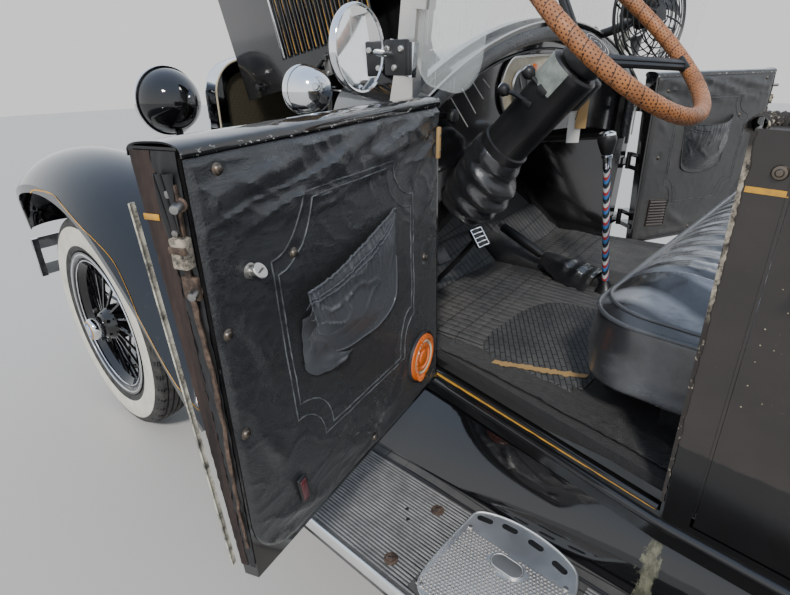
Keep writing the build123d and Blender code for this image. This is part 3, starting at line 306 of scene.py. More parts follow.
def makeFinishes():
    for key, facts in cloudedFinishes.items():
        finishes[key] = cloudedFinish(*facts)
    for key, (name, sockets) in plainFinishes.items():
        finishes[key] = Finish(name, **sockets)
    finishes["gloss"] = paintFinish("glossBlack")
    finishes["clean"] = paintFinish("deepBlack", dust=0.05, rough=(0.03, 0.09))
    finishes["satin"] = paintFinish("satinBlack", colour=(0.012, 0.012, 0.012), dust=0.7, rough=(0.38, 0.6))
    finishes["chrome"] = metalFinish("chromePlate", (0.8, 0.81, 0.83), (0.03, 0.14))
    finishes["nickel"] = metalFinish("wornNickel", (0.62, 0.6, 0.56), (0.22, 0.48), rust=0.25, brushed=0.5)
    finishes["aluminium"] = metalFinish("boardAluminium", (0.88, 0.88, 0.86), (0.34, 0.55), brushed=0.4)
    finishes["steel"] = metalFinish("darkSteel", (0.3, 0.29, 0.28), (0.3, 0.55), rust=0.5)
    mat = Finish("ribbedMat", roughness=0.55)
    wander = mat.times(mat.math("SINE", mat.times(mat.axis("X"), 14)), 0.004)
    groove = mat.span(mat.fromMiddle(mat.math("DIVIDE", mat.plus(mat.axis("Y"), wander), 0.02)), 0.035, 0.075)
    slant = mat.plus(mat.axis("X"), mat.times(mat.axis("Y"), 0.1))
    across = mat.span(mat.fromMiddle(mat.math("DIVIDE", slant, 0.052)), 0.012, 0.03)
    across = mat.math("MAXIMUM", across, mat.span(mat.axis("X"), 0.185, 0.165))
    groove = mat.math("MINIMUM", groove, across)
    dusty = mat.clouded((7, 6, 0.7), 0.34, 0.74, (0.06, 0.061, 0.063), (0.135, 0.13, 0.122))
    # the grooves along and across the ribs are painted near black: painted shade in the troughs; the crests take the
    # dusty rubber colour
    mat.give(color=mat.mix(groove, (0.006, 0.006, 0.006), dusty), normal=mat.bump(mat.noise(500, 3), 0.15, 0.0004))
    finishes["mat"] = mat
    weave = Finish("wovenMat", roughness=0.6)
    facts = {"Vector": weave.mapped(turn=(0, 0, 0.95)), "Scale": 1, "Mortar Size": 0.0012, "Mortar Smooth": 0.2,
             "Brick Width": 0.03, "Row Height": 0.0105}
    brick = weave.node("ShaderNodeTexBrick", facts, offset=0.5, offset_frequency=2).outputs["Fac"]
    dusty = weave.clouded((9, 6, 0.7), 0.34, 0.74, (0.05, 0.051, 0.052), (0.115, 0.112, 0.106))
    weave.give(color=weave.mix(brick, dusty, (0.01, 0.01, 0.01)), normal=weave.bump(brick, -0.8, 0.0016))
    finishes["weave"] = weave
    carpet = Finish("blackCarpet", roughness=0.95, sheen=0.15)
    carpet.give(color=carpet.clouded((60, 5, 0.7), 0.3, 0.8, (0.006, 0.006, 0.007), (0.03, 0.029, 0.028)),
                normal=carpet.bump(carpet.cells(520), 0.9, 0.003))
    finishes["carpet"] = carpet
    finishes["leather"] = hideFinish("seatLeather", (0.017, 0.018, 0.02), grain=520, depth=0.22, rough=(0.16, 0.32),
                                     wearAndSheen=0.5, coat=0.9)
    # the seat's pale blue-grey wear colour is partly wear and partly a painted sheen for the silvery light on the
    # cushion
    finishes["seat"] = hideFinish("pleatedLeather", (0.022, 0.023, 0.026), grain=520, depth=0.25, rough=(0.16, 0.32),
                                  wearAndSheen=0.8, wearAndSheenColour=(0.17, 0.175, 0.19), coat=1, pleatWearAndSheen=True)
    finishes["vinyl"] = hideFinish("doorVinyl", (0.019, 0.0205, 0.0235), grain=250, depth=0.8, rough=(0.22, 0.36),
                                   wearAndSheen=0.12, coat=0.6, wrinkle=0.4)
    finishes["pocket"] = hideFinish("pocketVinyl", (0.072, 0.077, 0.087), grain=520, depth=0.12,
                                    rough=(0.24, 0.38), coat=0.5)
    cloth = Finish("topCanvas", roughness=0.9, sheen=0.2)
    weave = cloth.plus(cloth.wave(260, "X"), cloth.wave(260, "Z"))
    cloth.give(color=cloth.clouded((7, 6, 0.65), 0.35, 0.8, (0.014, 0.014, 0.015), (0.06, 0.058, 0.055)),
               normal=cloth.bump(weave, 0.3, 0.0006))
    finishes["canvas"] = cloth
    dark = Finish("darkPlastic", color=(0.016, 0.016, 0.017), roughness=0.42)
    dark.give(roughness=dark.span(dark.noise(40, 5), 0.3, 0.75, 0.3, 0.55),
              normal=dark.bump(dark.noise(300, 3), 0.1, 0.0004))
    finishes["plastic"] = dark
    core = Finish("coreFins", roughness=0.6, metallic=0.4)
    fins = core.math("MAXIMUM", core.wave(60, "Y"), core.wave(60, "Z"))
    core.give(color=core.mix(fins, (0.01, 0.01, 0.01), (0.12, 0.1, 0.06)), normal=core.bump(fins, 0.6, 0.003))
    finishes["core"] = core
    glass = Finish("clearGlass", color=(0.93, 0.97, 0.95), roughness=0.02, ior=1.1, alpha=0.28, specular=0.5)
    hair = glass.span(glass.noise(120, 2, 0.6, stretch=(1, 1, 0.05), turn=(0.5, 0.2, 0.4)), 0.64, 0.7, 0, 0.25)
    glass.give(alpha=glass.plus(hair, 0.16))
    finishes["glass"] = glass
    mirror = Finish("mirrorGlass", color=(0.86, 0.88, 0.9), metallic=1)
    mirror.give(roughness=mirror.span(mirror.noise(30, 5), 0.4, 0.8, 0.01, 0.08))
    finishes["mirror"] = mirror
    wood = Finish("edgeWood", roughness=0.75)
    grain = wood.noise(46, 6, 0.7, stretch=(1, 1, 0.12))
    wood.give(color=wood.mix(wood.span(grain, 0.36, 0.66), (0.012, 0.007, 0.006), (0.056, 0.034, 0.026)),
              normal=wood.bump(grain, 0.5, 0.0015))
    finishes["wood"] = wood
    amber = Finish("amberLens", color=(0.82, 0.17, 0.015), roughness=0.15, coat=0.8)
    amber.give(normal=amber.bump(amber.cells(260), 0.5, 0.001))
    finishes["amber"] = amber
    braid = Finish("braidCord", roughness=0.6)
    twist = braid.math("FRACT", braid.plus(braid.times(braid.axis("Z"), 26),
                                           braid.times(braid.axis("Y"), 55)))
    first = braid.mix(braid.math("GREATER_THAN", twist, 0.26), (0.62, 0.62, 0.62), (0.015, 0.02, 0.03))
    second = braid.mix(braid.math("GREATER_THAN", twist, 0.55), first, (0.04, 0.18, 0.45))
    third = braid.mix(braid.math("GREATER_THAN", twist, 0.8), second, (0.42, 0.03, 0.03))
    braid.give(color=third, normal=braid.bump(braid.cells(900), 0.5, 0.001))
    finishes["braid"] = braid
    finishes["padGrey"] = metalFinish("padGrey", (0.5, 0.46, 0.4), (0.55, 0.7), rust=0.3)
    torn = Finish("tornWelt", roughness=0.8)
    patch = torn.noise(70, 6, 0.75)
    bare = torn.math("MINIMUM", torn.span(torn.axis("Z"), 0.895, 0.935), torn.span(torn.axis("Z"), 1.1, 1.075))
    hidden = torn.times(torn.math("SUBTRACT", 1, bare), torn.span(patch, 0.36, 0.42))
    kept = torn.math("MAXIMUM", torn.span(patch, 0.42, 0.6), hidden)
    torn.give(color=torn.mix(kept, (0.46, 0.4, 0.31), (0.035, 0.03, 0.027)),
              normal=torn.bump(torn.noise(150, 5, 0.7), 0.6, 0.002))
    finishes["torn"] = torn
    side = Finish("fadedSide", coat=0.3, coatRoughness=0.2)
    cloud = side.noise(5, 6, 0.65)
    wander = side.span(side.noise(30, 3), 0.3, 0.7, -0.003, 0.003)
    low = side.span(side.plus(side.axis("Z"), wander), 0.706, 0.71)
    worn = side.mix(side.span(cloud, 0.3, 0.75), (0.026, 0.022, 0.02), (0.05, 0.042, 0.037))
    speck = side.span(side.noise(210, 3, 0.7), 0.71, 0.74)
    worn = side.mix(side.times(speck, 0.5), worn, (0.35, 0.32, 0.28))
    side.give(color=side.mix(low, (0.006, 0.006, 0.006), worn), normal=side.bump(side.noise(200, 4), 0.06, 0.0008),
              roughness=side.plus(side.times(low, 0.26), side.span(cloud, 0.3, 0.8, 0.1, 0.2)))
    finishes["side"] = side
    apron = Finish("scrapedApron", coat=0.5, coatRoughness=0.05)
    reach = apron.math("ABSOLUTE", apron.plus(apron.axis("X"), 0.302))
    ragged = apron.span(apron.noise(46, 6, 0.75, stretch=(1, 1, 0.3)), 0.2, 0.8, -0.35, 0.5)
    mark = apron.plus(apron.times(reach, 22), ragged)
    scrape = apron.times(apron.span(mark, 0.36, 0.26), apron.math("GREATER_THAN", apron.axis("Y"), 0))
    streaks = apron.span(apron.noise(90, 5, 0.7, stretch=(1, 1, 0.3)), 0.42, 0.6)
    bared = apron.mix(streaks, (0.19, 0.185, 0.125), (0.07, 0.068, 0.045))
    apron.give(color=apron.mix(scrape, (0.006, 0.006, 0.007), bared), roughness=apron.span(scrape, 0, 1, 0.07, 0.75))
    finishes["apron"] = apron
    finishes["bronze"] = metalFinish("darkBronze", (0.17, 0.145, 0.12), (0.3, 0.5), rust=0.5)
    rail = Finish("railBlack", coat=0.6, coatRoughness=0.05, roughness=0.12)
    low = rail.span(rail.axis("Z"), 1.1125, 1.1075)
    chip = rail.span(rail.noise(120, 4, 0.75, stretch=(0.6, 0.6, 1.6)), 0.585, 0.6)
    spare = rail.span(rail.noise(75, 4, 0.7), 0.7, 0.715)
    chipped = rail.math("MAXIMUM", rail.times(low, chip), spare)
    rail.give(color=rail.mix(chipped, (0.007, 0.007, 0.008), (0.62, 0.61, 0.58)),
              normal=rail.bump(rail.noise(30, 3), 0.05, 0.002))
    finishes["rail"] = rail
    finishes["greyVinyl"] = hideFinish("doorVinylGrey", (0.05, 0.05, 0.05), grain=300, depth=0.35,
                                       rough=(0.42, 0.6), wearAndSheen=0.5)


makeFinishes()
print("finishes made:", len(finishes))

nodeFinishes = {
    "side": ["body_tub", "rear_door_left", "rear_door_right"],
    "apron": ["splash_aprons"],
    "gloss": ["cowl", "front_door_left", "front_door_right",
              "hood_left_top", "hood_left_side", "hood_right_top", "hood_right_side", "hood_hinge"],
    "clean": ["front_fenders", "rear_fenders", "front_aprons", "headlamps"],
    "satin": ["chassis_frame", "springs", "front_axle", "rear_axle", "knuckle_left", "knuckle_right", "tie_rod",
              "exhaust", "steering_column", "steering_wheel", "floor_controls", "cabin_fan"],
    "chrome": ["radiator_shell", "cowl_lamps", "front_bumper", "rear_bumper", "side_mirror"],
    "nickel": ["windshield_frame"],
    "aluminium": ["step_plates"],
    "mat": ["running_boards", "toe_board"],
    "carpet": ["floor"],
    "core": ["radiator_core"],
    "iron": ["engine"],
    "glass": ["glass"],
    "lens": ["headlamp_lenses"],
    "cream": ["instrument_panel"],
    "canvas": ["spare_wheel", "top_boot"],
    "leather": ["front_seat_cushion", "front_seat_back", "rear_seat_cushion", "rear_seat_back"],
    "rubber": ["tyre_front_left", "tyre_front_right", "tyre_rear_left", "tyre_rear_right"],
}


def dressNodes():
    for key, names in nodeFinishes.items():
        for name in names:
            for place in cadNodes[name].material_slots:
                place.material = finishes[key].material
    for corner in ("front_left", "front_right", "rear_left", "rear_right"):
        for place in cadNodes["wheel_" + corner].material_slots:
            place.material = finishes["clean"].material


dressNodes()


# helpers for shapes

def surfaceOf(*names):
    # the CAD nodes' faces, for casting rays
    points, faces = [], []
    for name in names:
        item = cadNodes[name]
        first = len(points)
        points += [item.matrix_world @ v.co for v in item.data.vertices]
        faces += [[first + i for i in p.vertices] for p in item.data.polygons]
    return BVHTree.FromPolygons(points, faces)


def joinPart(bm, part, finish=0, clean=True):
    if clean:
        bmesh.ops.remove_doubles(part, verts=part.verts[:], dist=0.00002)
        bmesh.ops.recalc_face_normals(part, faces=part.faces[:])
    for face in part.faces:
        face.material_index = finish
    mesh = bpy.data.meshes.new("part")
    part.to_mesh(mesh)
    part.free()
    bm.from_mesh(mesh)
    bpy.data.meshes.remove(mesh)


def frameAt(origin, along, up=(0, 0, 1)):
    # X runs along, Z as near to up as it can
    x = Vector(along).normalized()
    y = Vector(up).cross(x).normalized()
    turn = Matrix((x, y, x.cross(y))).transposed().to_4x4()
    return Matrix.Translation(Vector(origin)) @ turn


def addBox(bm, place, size, bevel=0.001, segments=2, finish=0):
    # place is a matrix or a centre point
    part = bmesh.new()
    bmesh.ops.create_cube(part, size=1, matrix=Matrix.Diagonal((*size, 1)))
    if bevel:
        bmesh.ops.bevel(part, geom=part.edges[:], offset=bevel, offset_type="OFFSET", segments=segments,
                        profile=0.5, affect="EDGES", material=-1)
    part.transform(place if isinstance(place, Matrix) else Matrix.Translation(Vector(place)))
    joinPart(bm, part, finish)


studOutline = [(0, 0.004), (0.004, 0.003), (0.005, 0)]


def addLathe(bm, profile, centre, axis=(0, 1, 0), steps=48, finish=0):
    # profile holds (radius, distance along the axis)
    part = bmesh.new()
    centre, axis = Vector(centre), Vector(axis).normalized()
    side = axis.orthogonal().normalized()
    points = [part.verts.new(centre + side * r + axis * h) for r, h in profile]
    edges = [part.edges.new(pair) for pair in zip(points, points[1:])]
    bmesh.ops.spin(part, geom=points + edges, cent=centre, axis=axis, angle=2 * pi, steps=steps, use_merge=True)
    joinPart(bm, part, finish)


def runMesh(points, radius, closed=False, straight=False, sides=2, steps=6, taper=None):
    data = bpy.data.curves.new("run", "CURVE")
    data.dimensions = "3D"
    data.bevel_depth = radius
    data.bevel_resolution = sides
    data.use_fill_caps = True
    data.resolution_u = steps
    spline = data.splines.new("POLY" if straight else "BEZIER")
    spots = spline.points if straight else spline.bezier_points
    spots.add(len(points) - 1)
    for number, (spot, point) in enumerate(zip(spots, points)):
        spot.co = (*point, 1) if straight else point
        if not straight:
            spot.handle_left_type = spot.handle_right_type = "AUTO"
        if taper:
            spot.radius = taper[number]
    spline.use_cyclic_u = closed
    carrier = bpy.data.objects.new("run", data)
    mesh = bpy.data.meshes.new_from_object(carrier)
    bpy.data.objects.remove(carrier)
    bpy.data.curves.remove(data)
    return mesh


def addTube(bm, points, radius, finish=0, **settings):
    mesh = runMesh(points, radius, **settings)
    part = bmesh.new()
    part.from_mesh(mesh)
    bpy.data.meshes.remove(mesh)
    joinPart(bm, part, finish)


def addRail(bm, points, radius, sides=2, **settings):
    # a tube with straight stretches between its points
    addTube(bm, points, radius, straight=True, sides=sides, **settings)


def addRing(bm, points, radius, sides=2, **settings):
    addRail(bm, points, radius, sides, closed=True, **settings)


def addGrid(bm, across, down, shape, finish=0, thick=0, flip=False, closed=False):
    # shape gives a point for each pair of shares from 0 to 1
    part = bmesh.new()
    bmesh.ops.create_grid(part, x_segments=across, y_segments=down, size=0.5)
    for v in part.verts:
        v.co = shape(v.co.x + 0.5, v.co.y + 0.5)
    if flip:
        bmesh.ops.reverse_faces(part, faces=part.faces[:])
    if thick:
        part.normal_update()
        bmesh.ops.solidify(part, geom=part.faces[:], thickness=thick)
    joinPart(bm, part, finish, clean=closed)


def newPiece(name, bm, body, slotName, *finishKeys, replaced=(), place=None, sharp=38):
    if place is not None:
        bm.transform(place)
        if place.determinant() < 0:
            bmesh.ops.reverse_faces(bm, faces=bm.faces[:])
    mesh = bpy.data.meshes.new(name)
    bm.to_mesh(mesh)
    bm.free()
    for key in finishKeys:
        mesh.materials.append(finishes[key].material)
    mesh.shade_smooth()
    mesh.set_sharp_from_angle(angle=radians(sharp))
    piece = bpy.data.objects.new(name, mesh)
    scene.collection.objects.link(piece)
    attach(piece, body)
    if replaced:
        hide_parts(*replaced)
    return piece


def ripple(x, y, z):
    # smooth noise between about -1 and 1
    return noise.noise(Vector((x, y, z)))


def ridge(x, y, z):
    # 1 along the noise's winding middle lines, falling away from them
    return 1 - abs(ripple(x, y, z)) * 2


def smoothStep(value, low, high):
    share = min(1, max(0, (value - low) / (high - low)))
    return share * share * (3 - 2 * share)


# body side and door frames

bodyFacts = {"belt": 1.115, "sill": 0.583, "wall": 0.052, "outerLean": 40 / 532, "innerLean": 8 / 532,
             "hinge": (0.226, 0.563), "leftOpen": -68, "rightOpen": 55, "post": -0.296, "latch": -0.2925}
# x of the front end and half width there, then tangent, cosine and sine of the side's angle in plan
beltRuns = {"front": (0.225, 0.552, 0.16891, 0.98603, 0.16655), "rear": (-0.296, 0.64, 0.05195, 0.99865, 0.05188)}


def beltRun(x):
    return beltRuns["front" if x > bodyFacts["post"] else "rear"]


def beltLine(x):
    # outer half width at the belt, and the cosine of the side's angle there
    start, half, lean, cosine, shift = beltRun(x)
    return half + (start - x) * lean, cosine


def sideOuter(x, z):
    y, cosine = beltLine(x)
    return y - (bodyFacts["belt"] - z) * bodyFacts["outerLean"] / cosine


def sideInner(x, z):
    y, cosine = beltLine(x)
    return y - (bodyFacts["wall"] + (bodyFacts["belt"] - z) * bodyFacts["innerLean"]) / cosine


def hingeTurn(centre, angle):
    x, y = centre
    return Matrix.Translation((x, y, 0)) @ Matrix.Rotation(radians(angle), 4, "Z") @ Matrix.Translation((-x, -y, 0))


mirrorY = Matrix.Diagonal((1, -1, 1, 1))
hingeX, hingeY = bodyFacts["hinge"]
doorPlaces = {
    "front_door_left": hingeTurn((hingeX, hingeY), bodyFacts["leftOpen"]),
    "front_door_right": hingeTurn((hingeX, -hingeY), bodyFacts["rightOpen"]) @ mirrorY,
    "rear_door_left": Matrix.Identity(4),
    "rear_door_right": mirrorY.copy(),
}


def onDoor(x, z, proud=0):
    # a point on the door's inner face, proud of it towards the cabin
    shift = beltRun(x)[4]
    return Vector((x - shift * proud, sideInner(x, z) - sqrt(1 - shift * shift) * proud, z))


# door cards

cardFacts = {
    "front": {"latch": -0.2885, "hinge": 0.214, "low": 0.592, "high": 1.104, "corner": 0.075},
    "rear": {"latch": -0.352, "hinge": -0.826, "low": 0.592, "high": 1.104, "corner": 0.02},
}
# the pressed border turns inward round each corner: centre, first and last point of the arc
frontCorners = [
    ((-0.203, 1.045), (-0.203, 0.981), (-0.147, 1.045)), ((0.121, 1.046), (0.06, 1.046), (0.121, 0.985)),
    ((0.12, 0.704), (0.12, 0.773), (0.083, 0.704)), ((-0.192, 0.703), (-0.139, 0.703), (-0.192, 0.761)),
]
rearCorners = [
    ((-0.4, 1.045), (-0.455, 1.045), (-0.4, 0.985)), ((-0.4, 0.704), (-0.4, 0.765), (-0.45, 0.704)),
    ((-0.56, 0.704), (-0.53, 0.704), (-0.58, 0.76)), ((-0.76, 1.045), (-0.76, 0.985), (-0.705, 1.045)),
]
frontScrews = [(-0.253, 1.09), (0.171, 1.064), (-0.274, 0.925), (-0.274, 0.799), (-0.026, 0.614), (-0.163, 0.978),
               (0.163, 0.863)]
rearScrews = [(-0.375, 1.085), (-0.8, 1.085), (-0.375, 0.86), (-0.385, 0.64), (-0.66, 0.66)]
frontFolds = [
    # x and z of both ends, width, height
    (-0.262, 1.066, -0.12, 1.086, 0.012, 0.008), (-0.15, 1.046, 0.02, 1.094, 0.011, 0.009),
    (-0.24, 1.036, -0.1, 1.03, 0.012, 0.0045), (-0.07, 1.052, 0.16, 1.068, 0.01, 0.007),
    (0.02, 1.062, 0.2, 1.096, 0.012, 0.0075), (-0.06, 1.03, 0.06, 1.052, 0.008, 0.004),
    (0.19, 1.06, 0.12, 1.01, 0.009, 0.0045), (0.196, 0.99, 0.15, 0.94, 0.01, 0.003),
    (-0.018, 0.616, 0.09, 0.68, 0.014, 0.005), (-0.018, 0.616, -0.11, 0.65, 0.013, 0.0045),
    (-0.06, 0.606, 0.13, 0.604, 0.009, 0.004), (-0.25, 0.93, -0.222, 0.85, 0.01, 0.0045),
    (-0.256, 0.79, -0.226, 0.72, 0.01, 0.004), (-0.24, 0.64, -0.15, 0.61, 0.011, 0.005),
]
rearFolds = [(-0.4, 1.06, -0.6, 1.09, 0.01, 0.007), (-0.6, 1.05, -0.78, 1.08, 0.011, 0.006),
             (-0.4, 0.68, -0.52, 0.63, 0.01, 0.004)]
frontPocket = {
    "mouth": [(0.062, 0.975), (0.02, 0.968), (-0.025, 0.96), (-0.072, 0.951), (-0.118, 0.943), (-0.155, 0.94),
              (-0.176, 0.938)],
    "seam": [(0.062, 0.9), (0.056, 0.832), (0.01, 0.808), (-0.04, 0.808), (-0.085, 0.812), (-0.125, 0.828),
             (-0.158, 0.852)],
    "bulge": [0.004, 0.012, 0.019, 0.025, 0.03, 0.033, 0.031], "open": True,
}
rightPocket = {
    "mouth": [(0.08, 0.972), (0.04, 0.961), (0, 0.957), (-0.04, 0.957), (-0.08, 0.962), (-0.112, 0.97),
              (-0.13, 0.982)],
    "seam": [(0.07, 0.88), (0.06, 0.826), (0.02, 0.808), (-0.025, 0.803), (-0.07, 0.808), (-0.11, 0.826),
             (-0.12, 0.88)],
    "bulge": [0.004, 0.018, 0.03, 0.034, 0.03, 0.018, 0.004], "open": False,
}
rearPocket = {
    "mouth": [(-0.48, 0.985), (-0.52, 0.972), (-0.56, 0.966), (-0.6, 0.965), (-0.64, 0.968), (-0.68, 0.974),
              (-0.712, 0.985)],
    "seam": [(-0.49, 0.89), (-0.505, 0.85), (-0.545, 0.836), (-0.595, 0.832), (-0.645, 0.838), (-0.685, 0.852),
             (-0.705, 0.89)],
    "bulge": [0.004, 0.018, 0.028, 0.032, 0.028, 0.018, 0.004], "open": False,
}


def segmentShare(x, z, x0, z0, x1, z1):
    dx, dz = x1 - x0, z1 - z0
    share = max(0, min(1, ((x - x0) * dx + (z - z0) * dz) / (dx * dx + dz * dz)))
    return hypot(x - x0 - dx * share, z - z0 - dz * share), share


def along(points, share):
    # a smooth point on an evenly spaced run
    count = len(points) - 1
    place = min(count - 1e-6, max(0, share * count))
    k, t = int(place), place - int(place)
    a, b, c, d = (points[min(count, max(0, k + step))] for step in (-1, 0, 1, 2))
    single = isinstance(b, float)
    a, b, c, d = (((v,) if single else v) for v in (a, b, c, d))
    spot = [0.5 * (2 * q + (r - p) * t + (2 * p - 5 * q + 4 * r - s) * t * t + (3 * q - p - 3 * r + s) * t ** 3)
            for p, q, r, s in zip(a, b, c, d)]
    return spot[0] if single else spot


def cardRise(x, z, folds, screws):
    rise = 0.0035
    for x0, z0, x1, z1, width, height in folds:
        away, share = segmentShare(x, z, x0, z0, x1, z1)
        rise += height * exp(-(away / width) ** 2) * (0.35 + 0.65 * sin(pi * min(max(share, 0.08), 0.92)))
    slack = smoothStep(z, 1, 1.05) + 0.35 * smoothStep(z, 0.7, 0.62)
    crease = ridge(x * 7 + z * 9, z * 34 - x * 9, 1.3)
    rise += 0.0036 * slack * max(0, crease) ** 4
    crease = ridge(x * 16 - z * 12, z * 30 + x * 14, 5.1)
    rise += (0.001 + 0.0016 * slack) * max(0, crease) ** 5
    for sx, sz in screws:
        rise -= 0.0028 * exp(-(hypot(x - sx, z - sz) / 0.012) ** 2)
    rise += 0.0016 * ripple(x * 11, z * 11, 3.1)
    return max(0.0008, rise)


def addCard(bm, facts, folds, screws, cells):
    x0, x1, low, high, corner = (facts[k] for k in ("latch", "hinge", "low", "high", "corner"))

    def shape(u, v):
        x = x0 + (x1 - x0) * u
        fromLatch = abs(x - x0)
        bottom = low
        if fromLatch < corner:
            bottom = low + corner - sqrt(max(0, corner ** 2 - (corner - fromLatch) ** 2))
        z = bottom + (high - bottom) * v
        edge = min(u, 1 - u, v * 1.2, (1 - v) * 1.2)
        return onDoor(x, z, cardRise(x, z, folds, screws) * smoothStep(edge, -0.004, 0.018) + 0.0006)

    addGrid(bm, cells, cells, shape, flip=(x1 > x0), thick=-0.0006)


def addBorder(bm, corners, folds, screws, inset=0.0115, radius=0.001):
    # the pressed double line, its corners hollowed out
    middleX = sum(c[0][0] for c in corners) / len(corners)
    middleZ = sum(c[0][1] for c in corners) / len(corners)
    for shift in (0, inset):
        ring = []
        for (cx, cz), (px, pz), (qx, qz) in corners:
            for step in range(9):
                turn = pi / 2 * step / 8
                grow = 1 + shift * 0.9 / hypot(px - cx, pz - cz)
                x = cx + ((px - cx) * cos(turn) + (qx - cx) * sin(turn)) * grow
                z = cz + ((pz - cz) * cos(turn) + (qz - cz) * sin(turn)) * grow
                ring.append((x + (shift if x < middleX else -shift) * 0.7,
                             z + (shift if z < middleZ else -shift) * 0.7))
        fine = []
        for (xa, za), (xb, zb) in zip(ring, ring[1:] + ring[:1]):
            parts = max(1, int(hypot(xb - xa, zb - za) / 0.008))
            fine += [(xa + (xb - xa) * k / parts, za + (zb - za) * k / parts) for k in range(parts)]
        line = [onDoor(x, z, cardRise(x, z, folds, screws) + 0.001) for x, z in fine]
        addRing(bm, line, radius, sides=1)


def addScrews(bm, screws, folds, finish=1):
    for x, z in screws:
        centre = onDoor(x, z, cardRise(x, z, folds, screws) - 0.0008)
        inward = (onDoor(x, z, 1) - onDoor(x, z, 0)).normalized()
        addLathe(bm, [(0, 0), (0.0074, 0), (0.0078, 0.0014), (0.005, 0.003), (0.0044, 0.0046), (0.003, 0.0056),
                      (0, 0.0058)], centre, inward, 20, finish)
        addBox(bm, frameAt(centre + inward * 0.0056, (1, 0, 0.6), inward), (0.0052, 0.001, 0.0012), 0, 1, finish)


def addPocket(bm, facts):
    mouth, seam, bulge, torn = facts["mouth"], facts["seam"], facts["bulge"], facts["open"]

    def shape(u, v):
        (tx, tz), (bx, bz) = along(mouth, u), along(seam, u)
        x, z = tx + (bx - tx) * v, tz + (bz - tz) * v
        depth = along(bulge, u)
        gather = ripple(u * 34, v * 1.5, 1.7) + 0.6 * ripple(u * 70, v * 2.5, 4.7)
        band = exp(-((v - 0.16) / 0.09) ** 2) + 0.35 * exp(-((v - 0.34) / 0.16) ** 2)
        out = depth * ((1 - v) ** 0.75 * 0.82 + 0.34 * sin(pi * v) * (1 - 0.35 * v))
        out += 0.0024 * gather * band * min(1, depth / 0.015)
        # long folds fan out from the fixed ends
        fan = sin(5 * (u - 0.1) + 7.5 * v + 1.2 * ripple(u * 2, v * 2, 8))
        out += 0.0034 * fan * sin(pi * v) * min(1, depth / 0.02)
        cross = ridge(u * 4.5 + v * 2.5, v * 5 - u * 2, 2.2)
        out += 0.0034 * max(0, cross) ** 4 * sin(pi * min(1, v * 1.2)) * min(1, depth / 0.02)
        if v < 0.1:
            out += 0.0016 * ripple(u * 60, 0, 3.3) + 0.0012
        edge = smoothStep(min((1 - v) * 8, u * 12, 9 if torn else (1 - u) * 12), 0, 1)
        ruffle = 0.0025 * ripple(u * 55, 1, 6.1) * (1 - smoothStep(v, 0, 0.12))
        return onDoor(x, z + ruffle, max(0.0062, 0.0062 + (out - 0.004) * edge))

    fine = facts is frontPocket
    addGrid(bm, 170 if fine else 80, 62 if fine else 30, shape, thick=-0.0014, flip=True)
    for v in (0, 0.115, 0.165):
        addRail(bm, [shape(k / 90, v) - Vector((0, 0.0004, 0)) for k in range(91)], 0.0012 if v else 0.0017)
    line = [onDoor(x, z, 0.0068) for x, z in (along(seam, k / 40) for k in range(41))]
    addRail(bm, line, 0.0014)
    if torn:
        # the card's torn backing below the open end
        patch = [(-0.166, 0.894), (-0.17, 0.872), (-0.17, 0.85), (-0.169, 0.824), (-0.15, 0.806), (-0.123, 0.797)]

        def flap(u, v):
            x, z = along(patch, u)
            return onDoor(x + 0.055 * v, z + 0.006 * v,
                          0.0075 + 0.0035 * ripple(u * 6, v * 3, 5) + 0.004 * sin(pi * v))

        addGrid(bm, 30, 10, flap, thick=-0.001, flip=True)
        for k in range(7):
            start = shape(0.985, 0.04 + k * 0.13)
            addTube(bm, [start, start + Vector((-0.006 - 0.002 * (k % 3), -0.004, -0.006)),
                         start + Vector((-0.009, -0.002 * (k % 2), -0.015 + 0.004 * (k % 3)))], 0.0006, sides=0)


def addReflector(bm, x, z, radius, lens, ring):
    centre = onDoor(x, z, 0.003)
    inward = (onDoor(x, z, 1) - onDoor(x, z, 0)).normalized()
    addLathe(bm, [(0, 0), (radius, 0), (radius * 1.02, 0.004), (radius * 0.97, 0.008), (radius * 0.92, 0.007)],
             centre, inward, 56, ring)
    addLathe(bm, [(radius * 0.94, 0.004), (radius * 0.9, 0.0085), (radius * 0.74, 0.0105), (radius * 0.68, 0.0085)],
             centre, inward, 56, lens)
    addLathe(bm, [(radius * 0.7, 0.007), (radius * 0.64, 0.01), (radius * 0.58, 0.007), (radius * 0.56, 0.004)],
             centre, inward, 56, 2)
    addLathe(bm, [(radius * 0.57, 0.005), (radius * 0.53, 0.0095), (radius * 0.44, 0.01), (radius * 0.4, 0.0075),
                  (radius * 0.3, 0.007), (radius * 0.27, 0.01), (radius * 0.12, 0.0112), (0, 0.0116)],
             centre, inward, 56, lens)
    for k in range(30):
        turn = 2 * pi * k / 30
        spot = centre + inward * 0.0098 + Vector((cos(turn), 0, sin(turn))) * radius * 0.82
        addBox(bm, frameAt(spot, (cos(turn), 0, sin(turn)), inward), (radius * 0.2, 0.0022, 0.0022), 0.0006, 1, lens)


